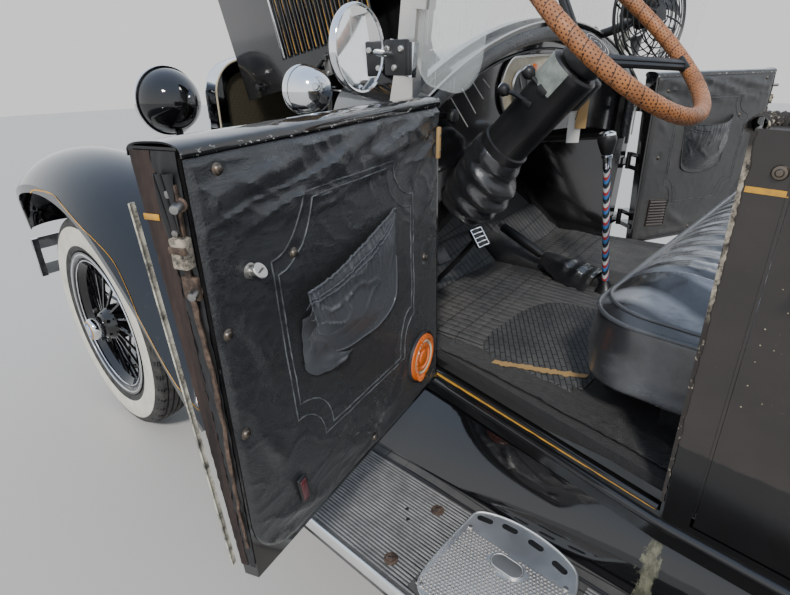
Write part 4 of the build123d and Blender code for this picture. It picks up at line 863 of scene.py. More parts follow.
def addVent(bm, corners, slats, finish):
    # a pressed vent with slanting slats, its corners given in door coordinates
    (ax, az), (bx, bz), (cx, cz), (dx, dz) = corners

    def spot(u, v, proud):
        x = (ax + (bx - ax) * u) * (1 - v) + (dx + (cx - dx) * u) * v
        z = (az + (bz - az) * u) * (1 - v) + (dz + (cz - dz) * u) * v
        return onDoor(x, z, proud)

    rim = [spot(u, v, 0.006) for u, v in ((0, 0), (1, 0), (1, 1), (0, 1))]
    addRing(bm, rim, 0.0022, finish=finish)
    for k in range(slats):
        v = (k + 0.6) / (slats + 0.2)
        start, stop = spot(0.04, v, 0.0075), spot(0.96, v, 0.0075)
        out = spot(0.5, v, 1) - spot(0.5, v, 0)
        tilt = (out.normalized() + Vector((0, 0, 0.9))).normalized()
        addBox(bm, frameAt((start + stop) / 2, stop - start, tilt), ((stop - start).length, 0.0075, 0.0014),
               0.0004, 1, finish)


def onLatch(share, z, proud=0):
    # the latch end of the closed front door: share runs from the inner to the outer skin
    x = bodyFacts["latch"]
    return Vector((x - proud, sideInner(x, z) + (sideOuter(x, z) - sideInner(x, z)) * share, z))


def addLatchEnd(bm):
    # finishes: wood, black (a sheet painted as the shaded hollow, and the drape), rusty steel, dark steel, weather
    # strip, gold, torn welt
    def wood(u, v):
        z = 0.604 + 0.508 * v
        rough = 0.06 * ripple(v * 40, u * 2, 1) + 0.03 * ripple(v * 120, 0, 3)
        return onLatch(0.5 + 0.44 * u + rough * (1 - u), z, 0.0016 + 0.0012 * ripple(v * 60, u * 6, 7))

    addGrid(bm, 10, 150, wood, thick=-0.001, flip=True)

    # a black sheet over the inner half of the latch end: painted shade standing in for the dark hollow there
    def hollow(u, v):
        return onLatch(0 + 0.52 * u, 0.604 + 0.508 * v, 0.0008 + 0.003 * abs(ripple(v * 18, u * 3, 2)))

    addGrid(bm, 10, 90, hollow, 1, thick=-0.0005, flip=True)

    def strap(u, v):
        z = 0.64 + 0.395 * v
        bend = 0.06 * sin(v * 9) + 0.04 * ripple(v * 12, 0, 4)
        return onLatch(0.08 + 0.13 * u + bend, z, 0.0035 + 0.0015 * ripple(v * 30, u, 4))

    addGrid(bm, 4, 80, strap, 2, thick=-0.002, flip=True)

    def drape(u, v):
        z = 1.094 - 0.06 * v
        return onLatch(0.1 + 0.34 * u, z, 0.004 + 0.006 * abs(sin(u * 7 + v * 2)) * (1 - 0.4 * v))

    addGrid(bm, 24, 16, drape, 1, thick=-0.001)
    plate = frameAt(onLatch(0.22, 1.058, 0.004), (0, 0, 1), (-1, 0, 0))
    addBox(bm, plate, (0.052, 0.015, 0.005), 0.0012, 2, 2)
    for step in (-0.018, 0.018):
        addLathe(bm, [(0, 0.003), (0.0034, 0.0022), (0.004, 0)], plate @ Vector((step, 0, 0.003)), (-1, 0, 0), 14, 3)
    block = frameAt(onLatch(0.16, 1.022, 0.008), (0, 0, 1), (-1, 0, 0))
    addBox(bm, block, (0.03, 0.017, 0.013), 0.0022, 2, 6)
    addBox(bm, block @ Matrix.Translation((0.004, 0, 0.0055)), (0.007, 0.019, 0.004), 0.001, 1, 2)
    low = frameAt(onLatch(0.2, 0.985, 0.003), (0, 0, 1), (-1, 0, 0))
    addBox(bm, low, (0.024, 0.018, 0.006), 0.001, 1, 2)
    for share, z, long in ((0.1, 1.066, 0.02), (0.14, 0.982, 0.017)):
        addLathe(bm, [(0.0044, -0.002), (0.0046, long - 0.002), (0.0036, long), (0, long + 0.0006)],
                 onLatch(share, z, 0.002), (-1, -0.5, 0), 24, 3)
        addLathe(bm, [(0.0068, 0), (0.007, 0.002), (0.0046, 0.003)], onLatch(share, z, 0.002), (-1, -0.5, 0), 24, 2)

    def lip(u, v):
        z = 0.602 + 0.462 * v
        return onLatch(1, z, 0.001 + 0.0075 * u) + Vector((0, 0.009 + 0.001 * sin(pi * u), 0))

    addGrid(bm, 4, 60, lip, 4, thick=0.0016)
    addBox(bm, frameAt(onLatch(0.8, 1.052, 0.0032), (0, 1, 0), (-1, 0, 0)), (0.018, 0.006, 0.0012), 0.0004, 1, 5)


def addTopRail(bm, x0, x1):
    # a rounded rail over the door's top edge
    def shape(u, v):
        x = x0 + (x1 - x0) * u
        inner, outer = sideInner(x, 1.115) - 0.0035, sideOuter(x, 1.115) + 0.0022
        middle, half = (inner + outer) / 2, (outer - inner) / 2
        turn = pi * (1 - v)
        y = middle + half * cos(turn)
        flat = abs(sin(turn)) ** 0.45
        return Vector((x, y, 1.106 + 0.013 * flat + 0.0006 * ripple(u * 30, v * 4, 1)))

    addGrid(bm, 60, 24, shape, thick=-0.0012, flip=(x1 > x0))
    for x in (x0, x1):
        cap = [shape(0 if x == x0 else 1, k / 16) for k in range(17)]
        addRail(bm, cap, 0.0008, sides=1)


def makeDoorCards():
    for name, place in doorPlaces.items():
        front, left = name.startswith("front"), name.endswith("left")
        kind = "front" if front else "rear"
        screws, folds = (frontScrews, frontFolds) if front else (rearScrews, rearFolds)
        bm = bmesh.new()
        addCard(bm, cardFacts[kind], folds, screws, 160 if front and left else 84)
        card = newPiece(name + "_card", bm, name, "leather", "vinyl" if left else "greyVinyl", place=place)
        bm = bmesh.new()
        addBorder(bm, frontCorners if front else rearCorners, folds, screws)
        addScrews(bm, screws, folds, 1)
        newPiece(name + "_trim_lines", bm, name, "leather", "wornLine", "bronze", place=place)
        bm = bmesh.new()
        addPocket(bm, frontPocket if front and left else rightPocket if front else rearPocket)
        pocket = newPiece(name + "_pocket", bm, name, "leather", "vinyl" if name == "front_door_right" else "pocket",
                          place=place, sharp=70)
        bm = bmesh.new()
        addTopRail(bm, 0.222 if front else -0.344, -0.2915 if front else -0.836)
        newPiece(name + "_top_rail", bm, name, "body_black", "rail", place=place)
        if front:
            bm = bmesh.new()
            addLatchEnd(bm)
            newPiece(name + "_latch_end", bm, name, "body_black", "wood", "plastic", "rusty", "steel", "strip",
                     "gold", "torn", place=place, sharp=50)
    door = doorPlaces["front_door_left"]
    bm = bmesh.new()
    addReflector(bm, 0.142, 0.676, 0.049, 0, 1)
    newPiece("front_door_left_reflector", bm, "front_door_left", "panel_cream", "amber", "plastic",
             "cream", place=door)
    bm = bmesh.new()
    centre = onDoor(-0.201, 0.656, 0.0075)
    inward = onDoor(-0.201, 0.656, 1) - onDoor(-0.201, 0.656, 0)
    turn = frameAt(centre, (-0.16, 0, 1), inward)
    addBox(bm, turn, (0.047, 0.017, 0.005), 0.0022, 3, 1)
    addBox(bm, turn @ Matrix.Translation((0, 0, 0.0022)), (0.038, 0.011, 0.003), 0.0014, 3)
    newPiece("front_door_left_red_lens", bm, "front_door_left", "panel_cream", "red", "plastic", place=door)
    # the window curtain's turn button and the key of the lock
    bm = bmesh.new()
    centre = onDoor(-0.234, 0.982, 0.003)
    inward = inward.normalized()
    addLathe(bm, [(0, 0), (0.0085, 0), (0.0088, 0.0015), (0.0045, 0.003), (0.004, 0.012), (0, 0.0125)],
             centre, inward, 28)
    addLathe(bm, [(0, -0.0012), (0.0086, -0.0012), (0.0092, 0), (0.0086, 0.0012), (0, 0.0012)],
             centre + inward * 0.0125 + Vector((0.004, 0, 0.001)), (0, -1, 0.75), 32)
    addBox(bm, frameAt(centre + inward * 0.0135 + Vector((0.003, 0, 0.001)), (1, 0, 0.25), (0, -1, 0.75)),
           (0.011, 0.0022, 0.0026), 0.0006, 1, 1)
    addLathe(bm, [(0, 0), (0.0046, 0), (0.003, 0.0016), (0, 0.0018)], onDoor(0.17, 0.86, 0.004), inward, 16, 1)
    newPiece("front_door_left_lock_spindle", bm, "front_door_left", "worn_nickel", "nickel", "bronze", place=door)
    bm = bmesh.new()
    addBox(bm, frameAt(onDoor(0.2, 1.05, 0.011), (0.04, 0, 1), inward), (0.05, 0.0095, 0.006), 0.0022)
    for z in (1.038, 1.062):
        addLathe(bm, [(0, 0.0014), (0.0018, 0.0012), (0.0022, 0)], onDoor(0.2, z, 0.014), inward, 12, 1)
    newPiece("front_door_left_toggle", bm, "front_door_left", "panel_cream", "tan", "bronze", place=door)
    bm = bmesh.new()
    addVent(bm, [(0.092, 0.722), (0.17, 0.728), (0.172, 0.64), (0.094, 0.634)], 9, 0)
    newPiece("front_door_right_vent", bm, "front_door_right", "worn_nickel", "bronze",
             place=doorPlaces["front_door_right"])


makeDoorCards()
print("door cards made")


# tyres and wheel trim

wheelFacts = {"front": 1.38, "rear": -1.249, "track": 0.712, "radius": 0.368, "steps": 132}
tyreProfile = [
    (0.2525, 0.044), (0.258, 0.0505), (0.268, 0.0535), (0.274, 0.056), (0.3, 0.0588), (0.32, 0.0582),
    (0.336, 0.056), (0.34, 0.0548), (0.35, 0.0515), (0.3585, 0.0465), (0.363, 0.041), (0.3655, 0.03),
    (0.359, 0.029), (0.359, 0.0245), (0.3665, 0.0235), (0.3675, 0.012), (0.36, 0.011), (0.36, 0.007),
    (0.3678, 0.006), (0.368, 0),
]
wheelSpots = {
    "front_left": (wheelFacts["front"], 1), "front_right": (wheelFacts["front"], -1),
    "rear_left": (wheelFacts["rear"], 1), "rear_right": (wheelFacts["rear"], -1),
}


def makeTyre(corner):
    along, side = wheelSpots[corner]
    centre = Vector((along, side * wheelFacts["track"], wheelFacts["radius"]))
    steps = wheelFacts["steps"]
    bm = bmesh.new()
    full = [(r, h) for r, h in tyreProfile] + [(r, -h) for r, h in reversed(tyreProfile[:-1])]
    start = [bm.verts.new((r, h, 0)) for r, h in full]
    edges = [bm.edges.new(pair) for pair in zip(start, start[1:])]
    bmesh.ops.spin(bm, geom=start + edges, cent=(0, 0, 0), axis=(0, 1, 0), angle=2 * pi, steps=steps, use_merge=True)
    bmesh.ops.recalc_face_normals(bm, faces=bm.faces[:])
    # shoulder blocks: every third face between the outer groove and the shoulder sinks in
    notches = []
    for face in bm.faces:
        middle = face.calc_center_median()
        reach = hypot(middle.x, middle.z)
        step = int(round(atan2(middle.z, middle.x) / (2 * pi) * steps - 0.5)) % 3
        if abs(middle.y) > 0.031 and reach > 0.3535 and step == 0:
            notches.append(face)
        face.material_index = 1 if 0.2745 < reach < 0.334 and middle.y * side > 0.05 else 0
    for face in notches:
        face.material_index = 0
    sunk = bmesh.ops.extrude_discrete_faces(bm, faces=notches)["faces"]
    for face in sunk:
        centreFace = face.calc_center_median()
        inward = Vector((centreFace.x, 0, centreFace.z)).normalized() * -0.0045
        for v in face.verts:
            v.co = centreFace + (v.co - centreFace) * 0.82 + inward
    bm.transform(Matrix.Translation(centre))
    newPiece("tyre_" + corner + "_tread", bm, "wheel_" + corner, "tyre", "rubber", "whitewall",
             replaced=("tyre_" + corner,), sharp=24)


def makeWheelTrim(corner):
    along, side = wheelSpots[corner]
    centre = Vector((along, side * wheelFacts["track"], wheelFacts["radius"]))
    outward = Vector((0, side, 0))
    bm = bmesh.new()
    for radius, offset, thick in ((0.2435, 0.05, 0.003), (0.222, 0.0445, 0.0022)):
        ring = [centre + outward * offset + Vector((cos(a), 0, sin(a))) * radius
                for a in (2 * pi * k / 72 for k in range(72))]
        addRing(bm, ring, thick)
    newPiece("wheel_" + corner + "_rim_rings", bm, "wheel_" + corner, "chrome", "chrome")


for corner in wheelSpots:
    makeTyre(corner)
    makeWheelTrim(corner)
print("tyres made")

# steering wheel and column

steerFacts = {"centre": (-0.017, 0.32, 1.22), "rake": 48, "radius": 0.195, "grip": 0.0132, "hub": 0.036,
              "dish": 0.056, "wraps": 48, "cover": 0.046}
steerLean = radians(steerFacts["rake"])
steerCentre = Vector(steerFacts["centre"])
steerDown = Vector((cos(steerLean), 0, -sin(steerLean)))
steerAhead = Vector((sin(steerLean), 0, cos(steerLean)))
steerRight = Vector((0, -1, 0))


def atColumn(distance, turn=0, reach=0):
    # down the column, turned from the car's right towards the upper side
    return steerCentre + steerDown * distance + (steerRight * cos(turn) + steerAhead * sin(turn)) * reach


def gripFinish():
    # perforated leather wound round the rim: u runs round the wheel, v round the grip
    f = Finish("woundLeather", roughness=0.5)
    place = f.node("ShaderNodeTexCoord").outputs["UV"]
    across, around = f.axis("X", place), f.axis("Y", place)
    turns = f.plus(f.times(across, float(steerFacts["wraps"])), f.times(around, 0.85))
    seam = f.fromMiddle(turns)
    rows = f.times(across, 192)
    ring = f.plus(f.times(around, 15), f.times(f.math("FLOOR", rows), 0.5))
    dx = f.math("SUBTRACT", f.math("FRACT", rows), 0.5)
    dy = f.math("SUBTRACT", f.math("FRACT", ring), 0.5)
    spread = f.math("SQRT", f.plus(f.times(dx, dx), f.times(dy, dy)))
    away = f.times(f.span(spread, 0.17, 0.25), f.span(seam, 0.478, 0.468))
    cloud = f.noise(24, 6, 0.7)
    tan = f.mix(f.span(cloud, 0.32, 0.72), (0.52, 0.205, 0.072), (0.3, 0.125, 0.055))
    grey = f.mix(f.times(f.span(f.noise(11, 5), 0.52, 0.7), 0.55), tan, (0.3, 0.2, 0.15))
    f.give(color=f.mix(away, (0.022, 0.012, 0.01), grey), roughness=f.span(cloud, 0.3, 0.7, 0.38, 0.6),
           normal=f.bump(f.plus(f.times(away, 0.6), f.noise(300, 5, 0.7)), 0.5, 0.0009))
    finishes["wound"] = f


def makeSteeringWheel():
    gripFinish()
    wraps, radius, grip = steerFacts["wraps"], steerFacts["radius"], steerFacts["grip"]
    around, across = wraps * 10, 20
    bm = bmesh.new()
    rows = []
    for a in range(around):
        turn = 2 * pi * a / around
        outward = steerRight * cos(turn) + steerAhead * sin(turn)
        ring = []
        for b in range(across):
            phase = 2 * pi * b / across
            wound = (a / around * wraps + b / across * 0.85) % 1
            thick = grip * (0.955 + 0.045 * min(1, wound * 5) - 0.03 * max(0, wound - 0.86) / 0.14
                            + 0.02 * ripple(turn * 9, phase, 2))
            ring.append(bm.verts.new(steerCentre + outward * (radius + thick * cos(phase))
                                     - steerDown * thick * sin(phase)))
        rows.append(ring)
    layer = bm.loops.layers.uv.new("wrap")
    for a in range(around):
        for b in range(across):
            corners = ((a, b), (a, b + 1), (a + 1, b + 1), (a + 1, b))
            face = bm.faces.new([rows[i % around][j % across] for i, j in corners])
            for loop, (i, j) in zip(face.loops, corners):
                loop[layer].uv = (i / around, j / across)
    bmesh.ops.recalc_face_normals(bm, faces=bm.faces[:])
    newPiece("steering_rim", bm, "steering_wheel", "rim_leather", "wound", replaced=("steering_wheel",))
    bm = bmesh.new()
    for turn in (radians(-30), radians(210), radians(90)):
        inner, outer = atColumn(steerFacts["dish"] + 0.002, turn, 0.026), atColumn(0, turn, radius - grip * 0.6)
        place = frameAt((inner + outer) / 2, outer - inner, -steerDown)
        addBox(bm, place, ((outer - inner).length, 0.026, 0.01), 0.003)
        addBox(bm, place @ Matrix.Translation((0, 0, 0.005)), ((outer - inner).length * 0.98, 0.01, 0.005), 0.002)
        clamp = frameAt(outer, steerRight * -sin(turn) + steerAhead * cos(turn), -steerDown)
        addBox(bm, clamp, (0.034, 0.014, 0.016), 0.004)
    hub = steerFacts["hub"]
    low = steerFacts["dish"]
    addLathe(bm, [(0, -0.024), (hub, -0.024), (hub + 0.003, -0.018), (hub + 0.003, 0.004), (hub - 0.002, 0.012),
                  (hub - 0.008, 0.015), (0, 0.015)], atColumn(low), -steerDown, 48)
    addLathe(bm, [(0, 0.02), (0.006, 0.0202), (0.0065, 0.019), (0.0085, 0.0188), (0.009, 0.0204), (0.0155, 0.0202),
                  (0.016, 0.0188), (0.0175, 0.0188), (0.018, 0.0202), (0.0225, 0.0198), (0.023, 0.0185),
                  (0.0255, 0.0178), (0.027, 0.015)], atColumn(low), -steerDown, 48)
    for reach in (0.0076, 0.0168, 0.024):
        ring = [atColumn(low - 0.0194, 2 * pi * k / 48, reach) for k in range(48)]
        addRing(bm, ring, 0.0006, finish=1, sides=1)
    newPiece("steering_spokes", bm, "steering_wheel", "chassis_black", "plastic", "tag")


def makeColumn():
    cover = steerFacts["cover"]
    bm = bmesh.new()
    addLathe(bm, [(0, 0), (cover - 0.004, 0), (cover, 0.004), (cover + 0.001, 0.014), (cover, 0.016), (cover, 0.186),
                  (cover + 0.0045, 0.188), (cover + 0.0045, 0.204), (cover, 0.206), (cover - 0.008, 0.208)],
             atColumn(0.084), steerDown, 64)
    # a switch housing on the near side of the upper end
    place = frameAt(atColumn(0.118, radians(-20), 0.04), steerDown, steerRight)
    addBox(bm, place, (0.066, 0.06, 0.03), 0.008, 3)
    newPiece("column_cover", bm, "car", "chassis_black", "plastic", replaced=("steering_column",))
    bm = bmesh.new()

    def worn(u, v):
        turn = radians(100) + radians(96) * u
        return atColumn(0.087 + 0.05 * v, turn, cover + 0.0016)

    addGrid(bm, 20, 10, worn, thick=-0.0012)
    newPiece("column_worn_plate", bm, "car", "worn_nickel", "worn")
    bm = bmesh.new()
    end = atColumn((1.22 - 0.535) / sin(steerLean))
    addRail(bm, [atColumn(0.2), end], 0.0235, sides=5)
    addBox(bm, (end.x - 0.003, 0.352, 0.528), (0.072, 0.084, 0.05), 0.006)
    addRail(bm, [end + Vector((0, -0.046, -0.004)), end + Vector((0, -0.058, -0.004))], 0.018, sides=4)
    newPiece("column_shaft", bm, "car", "chassis_black", "satin")
    # folded leather gaiter, tied to the collar and sagging below it
    bm = bmesh.new()
    sag = -steerAhead

    def gaiter(u, v):
        turn = 2 * pi * u
        distance = 0.286 + 0.18 * v
        swell = sin(pi * min(1, v * 1.08)) ** 0.7
        reach = cover + 0.002 + 0.018 * swell - 0.022 * smoothStep(v, 0.86, 1)
        folds = sin(v * 2 * pi * 5 + 1.2 * sin(turn + 0.6) + 0.8 * sin(2 * turn)) * 0.005 * smoothStep(v, 0.05, 0.2)
        low = max(0, -sin(turn))
        reach += folds * (0.5 + 0.9 * low) + 0.0022 * ripple(cos(turn) * 2, sin(turn) * 2, v * 7)
        shift = sag * (0.02 * smoothStep(v, 0.05, 0.45) * (1 - 0.8 * smoothStep(v, 0.8, 1)))
        along = distance + 0.006 * low * sin(v * pi)
        return atColumn(along, turn, max(0.024, reach)) + shift

    addGrid(bm, 90, 70, gaiter, closed=True)
    piece = newPiece("column_gaiter", bm, "car", "leather", "leather", sharp=80)
    bm = bmesh.new()
    for distance, reach in ((0.292, 0.0486), (0.3, 0.049)):
        ring = [atColumn(distance, 2 * pi * k / 60, reach) for k in range(60)]
        addRing(bm, ring, 0.0019)
    newPiece("column_gaiter_tie", bm, "car", "leather", "canvas")
    # levers, stalk and tags
    bm = bmesh.new()
    for start, stop in ((Vector((0.077, 0.36, 1.121)), Vector((0.106, 0.36, 1.147))),
                        (Vector((0.104, 0.36, 1.099)), Vector((0.153, 0.36, 1.118)))):
        addTube(bm, [start, (start + stop) / 2 + steerAhead * 0.006, stop], 0.0042)
        addBox(bm, frameAt(start, stop - start), (0.022, 0.02, 0.014), 0.004)
        out = (stop - start).normalized()
        addLathe(bm, [(0, -0.01), (0.006, -0.008), (0.0115, 0), (0.012, 0.007), (0.0105, 0.01)], stop, out, 24)
        addLathe(bm, [(0.0104, 0.0096), (0.0098, 0.012), (0.006, 0.014), (0, 0.0146)], stop, out, 24, finish=1)
    start, stop = atColumn(0.134, radians(2), 0.046), atColumn(0.142, radians(-24), 0.082)
    addTube(bm, [start, stop], 0.0062, sides=3, taper=(1, 0.8))
    newPiece("column_levers", bm, "car", "chassis_black", "plastic", "chrome")
    bm = bmesh.new()
    top = atColumn(0.142, radians(-24), 0.082)
    for number, (dy, drop, wide, tall) in enumerate(((0, -0.03, 0.022, 0.058), (0.006, -0.058, 0.026, 0.056))):
        hang = Matrix.Translation(top + Vector((0.004 + 0.01 * number, dy - 0.012, drop + 0.012)))
        place = hang @ Matrix.Rotation(radians(-42), 4, "Z")
        addBox(bm, place, (0.0014, wide, tall), 0.0004, 1, finish=number)
    addTube(bm, [top, top + Vector((0.003, 0.001, -0.004)), top + Vector((0.009, 0.004, -0.03))], 0.0007, finish=2)
    newPiece("column_tags", bm, "car", "panel_cream", "tan", "tag", "canvas")


makeSteeringWheel()
makeColumn()
print("steering made")


# levers, pedals and the dash

def makeLevers():
    bm = bmesh.new()
    foot, top = Vector((0.04, -0.01, 0.612)), Vector((0.086, 0, 0.962))
    addTube(bm, [foot, foot.lerp(top, 0.5), top], 0.0085, sides=4, steps=12)
    newPiece("shift_lever_braid", bm, "car", "panel_cream", "braid", replaced=("floor_controls",))
    bm = bmesh.new()
    along = (top - foot).normalized()
    addLathe(bm, [(0, -0.034), (0.0095, -0.034), (0.0098, -0.012), (0.0125, -0.008), (0.0125, -0.003), (0.01, 0)],
             top, along, 28, 1)
    addLathe(bm, [(0, -0.002), (0.013, 0), (0.017, 0.012), (0.0215, 0.028), (0.0215, 0.038), (0.019, 0.043)],
             top, along, 32)
    addLathe(bm, [(0.0196, 0.0425), (0.0185, 0.0475), (0.012, 0.051), (0, 0.0525)], top, along, 32, 1)
    addLathe(bm, [(0.034, -0.012), (0.03, 0.004), (0.016, 0.02), (0.01, 0.036), (0, 0.038)],
             foot + Vector((0, 0, 0.002)), along, 28)
    newPiece("shift_lever_knob", bm, "car", "chrome", "plastic", "chrome")
    # hand brake: a grip on a lever out of a folded boot
    bm = bmesh.new()
    base, tip = Vector((0.102, -0.012, 0.622)), Vector((0.355, -0.012, 0.728))
    along = (tip - base).normalized()
    addRail(bm, [base, base.lerp(tip, 0.55)], 0.0095, sides=3)
    addTube(bm, [base.lerp(tip, 0.5), base.lerp(tip, 0.8), tip], 0.0135, sides=4, taper=(0.9, 1, 0.92))
    addLathe(bm, [(0.006, 0), (0.0062, 0.01), (0.004, 0.013), (0, 0.0135)], tip, along, 20, 1)
    newPiece("brake_lever", bm, "car", "chassis_black", "plastic", "nickel")
    bm = bmesh.new()
    across = Vector((0, 1, 0))
    risen = along.cross(across).normalized()
    if risen.z < 0:
        risen = -risen

    def boot(u, v):
        turn = 2 * pi * u
        reach = 0.044 * (1 - v) ** 0.8 + 0.014
        flat = 0.62 + 0.38 * v
        fold = 1 + 0.08 * sin(v * 26) * (1 - v) + 0.05 * ripple(cos(turn) * 3, sin(turn) * 3, v * 4)
        square = 1 / max(abs(cos(turn)), abs(sin(turn))) ** 0.55
        middle = base + along * (0.15 * v - 0.02) + risen * 0.006 * (1 - v)
        spot = middle + (across * cos(turn) * flat + risen * sin(turn) * 0.85) * reach * fold * square
        spot.z = max(spot.z, 0.6115)
        return spot

    addGrid(bm, 64, 30, boot, closed=True)
    piece = newPiece("brake_lever_boot", bm, "car", "leather", "leather", sharp=70)
    # pedals with ribbed pads in bright frames
    bm = bmesh.new()
    for (x, y, z), footY, bright in (((0.266, 0.25, 0.781), 0.25, True), ((0.24, 0.431, 0.798), 0.388, False)):
        turn = Matrix((Vector((0, 1, 0)), Vector((0.6, 0, 0.8)), Vector((0.8, 0, -0.6)))).transposed().to_4x4()
        pad = Matrix.Translation((x, y, z)) @ turn
        addBox(bm, pad, (0.04, 0.044, 0.008), 0.003)
        if bright:
            for dx, dy, wide, tall in ((0, 0.022, 0.045, 0.004), (0, -0.022, 0.045, 0.004), (0.021, 0, 0.004, 0.047),
                                       (-0.021, 0, 0.004, 0.047)):
                addBox(bm, pad @ Matrix.Translation((dx, dy, -0.004)), (wide, tall, 0.008), 0.002, 2, 1)
            for step in (-0.011, 0, 0.011):
                addBox(bm, pad @ Matrix.Translation((0, step, -0.0055)), (0.04, 0.0036, 0.004), 0.001, 2, 1)
        addTube(bm, [(x + 0.006, y, z - 0.006), (x + 0.07, y * 0.7 + footY * 0.3, z - 0.085), (0.4, footY, 0.622)],
                0.0065, sides=3)
    newPiece("pedals", bm, "car", "chassis_black", "plastic", "chrome")


dashFacts = {"face": 0.263, "back": 0.23, "half": 0.552, "crown": 1.245, "crownRadius": 1, "corner": 0.06}


def dashArch(share, inset=0):
    # a point on the cowl's rear arch: share runs from the left to the right side
    half, crown, big, small = (dashFacts[k] for k in ("half", "crown", "crownRadius", "corner"))
    big, small, half, top = big - inset, small - inset, half - inset, crown - inset
    low = top - big
    rise = sqrt((big - small) ** 2 - (half - small) ** 2)
    lean = atan2(half - small, rise)
    corner = small * (pi / 2 - lean)
    crownRun = big * lean * 2
    side = 0.16
    total = crownRun + 2 * corner + 2 * side
    run = share * total
    if run < side:
        return half, low + rise - (side - run), 1, 0
    if run < side + corner:
        turn = pi / 2 - (run - side) / small
        return half - small + small * sin(turn), low + rise + small * cos(turn), sin(turn), cos(turn)
    if run < side + corner + crownRun:
        turn = lean - (run - side - corner) / big
        return big * sin(turn), low + big * cos(turn), sin(turn), cos(turn)
    y, z, ny, nz = dashArch(1 - share, inset)
    return -y, z, -ny, nz


def makeDash():
    bm = bmesh.new()

    def roll(u, v):
        # padded roll along the dash's rear edge
        y, z, ny, nz = dashArch(0.015 + 0.97 * u, 0.024)
        turn = 2 * pi * v
        reach = 0.0175 + 0.0008 * ripple(u * 30, v * 4, 0.4)
        out = reach * cos(turn) * 1.05
        return Vector((0.24 - reach * sin(turn) * 0.85, y + ny * out, z + nz * out))

    addGrid(bm, 150, 20, roll, closed=True)
    piece = newPiece("dash_roll", bm, "car", "leather", "vinyl", sharp=80)
    bm = bmesh.new()
    line = []
    for k in range(81):
        y, z, ny, nz = dashArch(0.03 + 0.94 * k / 80, 0)
        line.append((0.2265, y - ny * 0.002, z - nz * 0.0005))
    addRail(bm, line, 0.0022)
    newPiece("dash_edge_bead", bm, "car", "worn_nickel", "nickel")
    bm = bmesh.new()
    line = []
    for k in range(61):
        y, z, ny, nz = dashArch(0.2 + 0.6 * k / 60, 0.058)
        line.append((0.26, y, z))
    addRail(bm, line, 0.003)
    newPiece("dash_moulding", bm, "car", "worn_nickel", "satin")
    # oval instrument plate with dials
    bm = bmesh.new()
    wide, tall, middle, face = 0.206, 0.066, 1.108, dashFacts["face"]

    def plate(u, v):
        turn = 2 * pi * u
        reach = v
        y = (wide - tall) * (1 if cos(turn) > 0 else -1) * min(1, abs(cos(turn)) * 3) + tall * cos(turn)
        return Vector((face - 0.008 + 0.003 * v ** 8, y * reach, middle + tall * sin(turn) * reach))

    addGrid(bm, 97, 14, plate, closed=True)
    rim = [plate(k / 96, 1) - Vector((0.001, 0, 0)) for k in range(96)]
    addRing(bm, rim, 0.0036, finish=1)
    for y, reach in ((0.135, 0.036), (0, 0.044), (-0.135, 0.036)):
        addLathe(bm, [(0, 0), (reach, 0), (reach + 0.003, 0.005), (reach, 0.008), (reach - 0.003, 0.005)],
                 (face - 0.008, y, middle), (-1, 0, 0), 40, 1)
        addLathe(bm, [(0, 0.0034), (reach - 0.004, 0.003)], (face - 0.008, y, middle), (-1, 0, 0), 40, 2)
        addBox(bm, frameAt((face - 0.0128, y, middle + reach * 0.3), (0, 0.5, 1)), (reach * 0.8, 0.002, 0.001),
               0.0003, 1, 3)
    addLathe(bm, [(0, 0.006), (0.007, 0.005), (0.009, 0)], (face - 0.008, 0.072, middle + 0.04), (-1, 0, 0), 24, 4)
    newPiece("instrument_plate", bm, "car", "panel_cream", "cream", "nickel", "plastic", "tag", "amber",
             replaced=("instrument_panel",))
    # pale slanted lines and a knob on the left of the dash
    bm = bmesh.new()
    for y0, z0, y1, z1 in ((0.389, 1.112, 0.318, 1.042), (0.344, 1.118, 0.291, 1.066), (0.306, 1.127, 0.266, 1.093),
                           (0.27, 1.132, 0.244, 1.114)):
        addRail(bm, [(face - 0.0006, y0, z0), (face - 0.0006, y1, z1)], 0.0011, sides=1)
    newPiece("dash_lines", bm, "car", "worn_nickel", "tag")
    bm = bmesh.new()
    addLathe(bm, [(0, 0), (0.006, 0), (0.006, 0.014), (0.013, 0.016), (0.0135, 0.024), (0.01, 0.028), (0, 0.029)],
             (face, 0.398, 1.071), (-1, 0, 0), 24)
    newPiece("dash_knob", bm, "car", "chassis_black", "plastic")


makeLevers()
makeDash()
print("levers and dash made")


# seats

seatFacts = {
    # back edge, front edge, half width, base, piping height, crown, front and back corner, half width of the pleats
    "front": (-0.503, -0.107, 0.513, 0.687, 0.803, 0.07, 0.085, 0.02, 0.425),
    "rear": (-1.358, -1.002, 0.594, 0.692, 0.815, 0.066, 0.04, 0.02, 0.52),
}
pleatPitch = 0.068


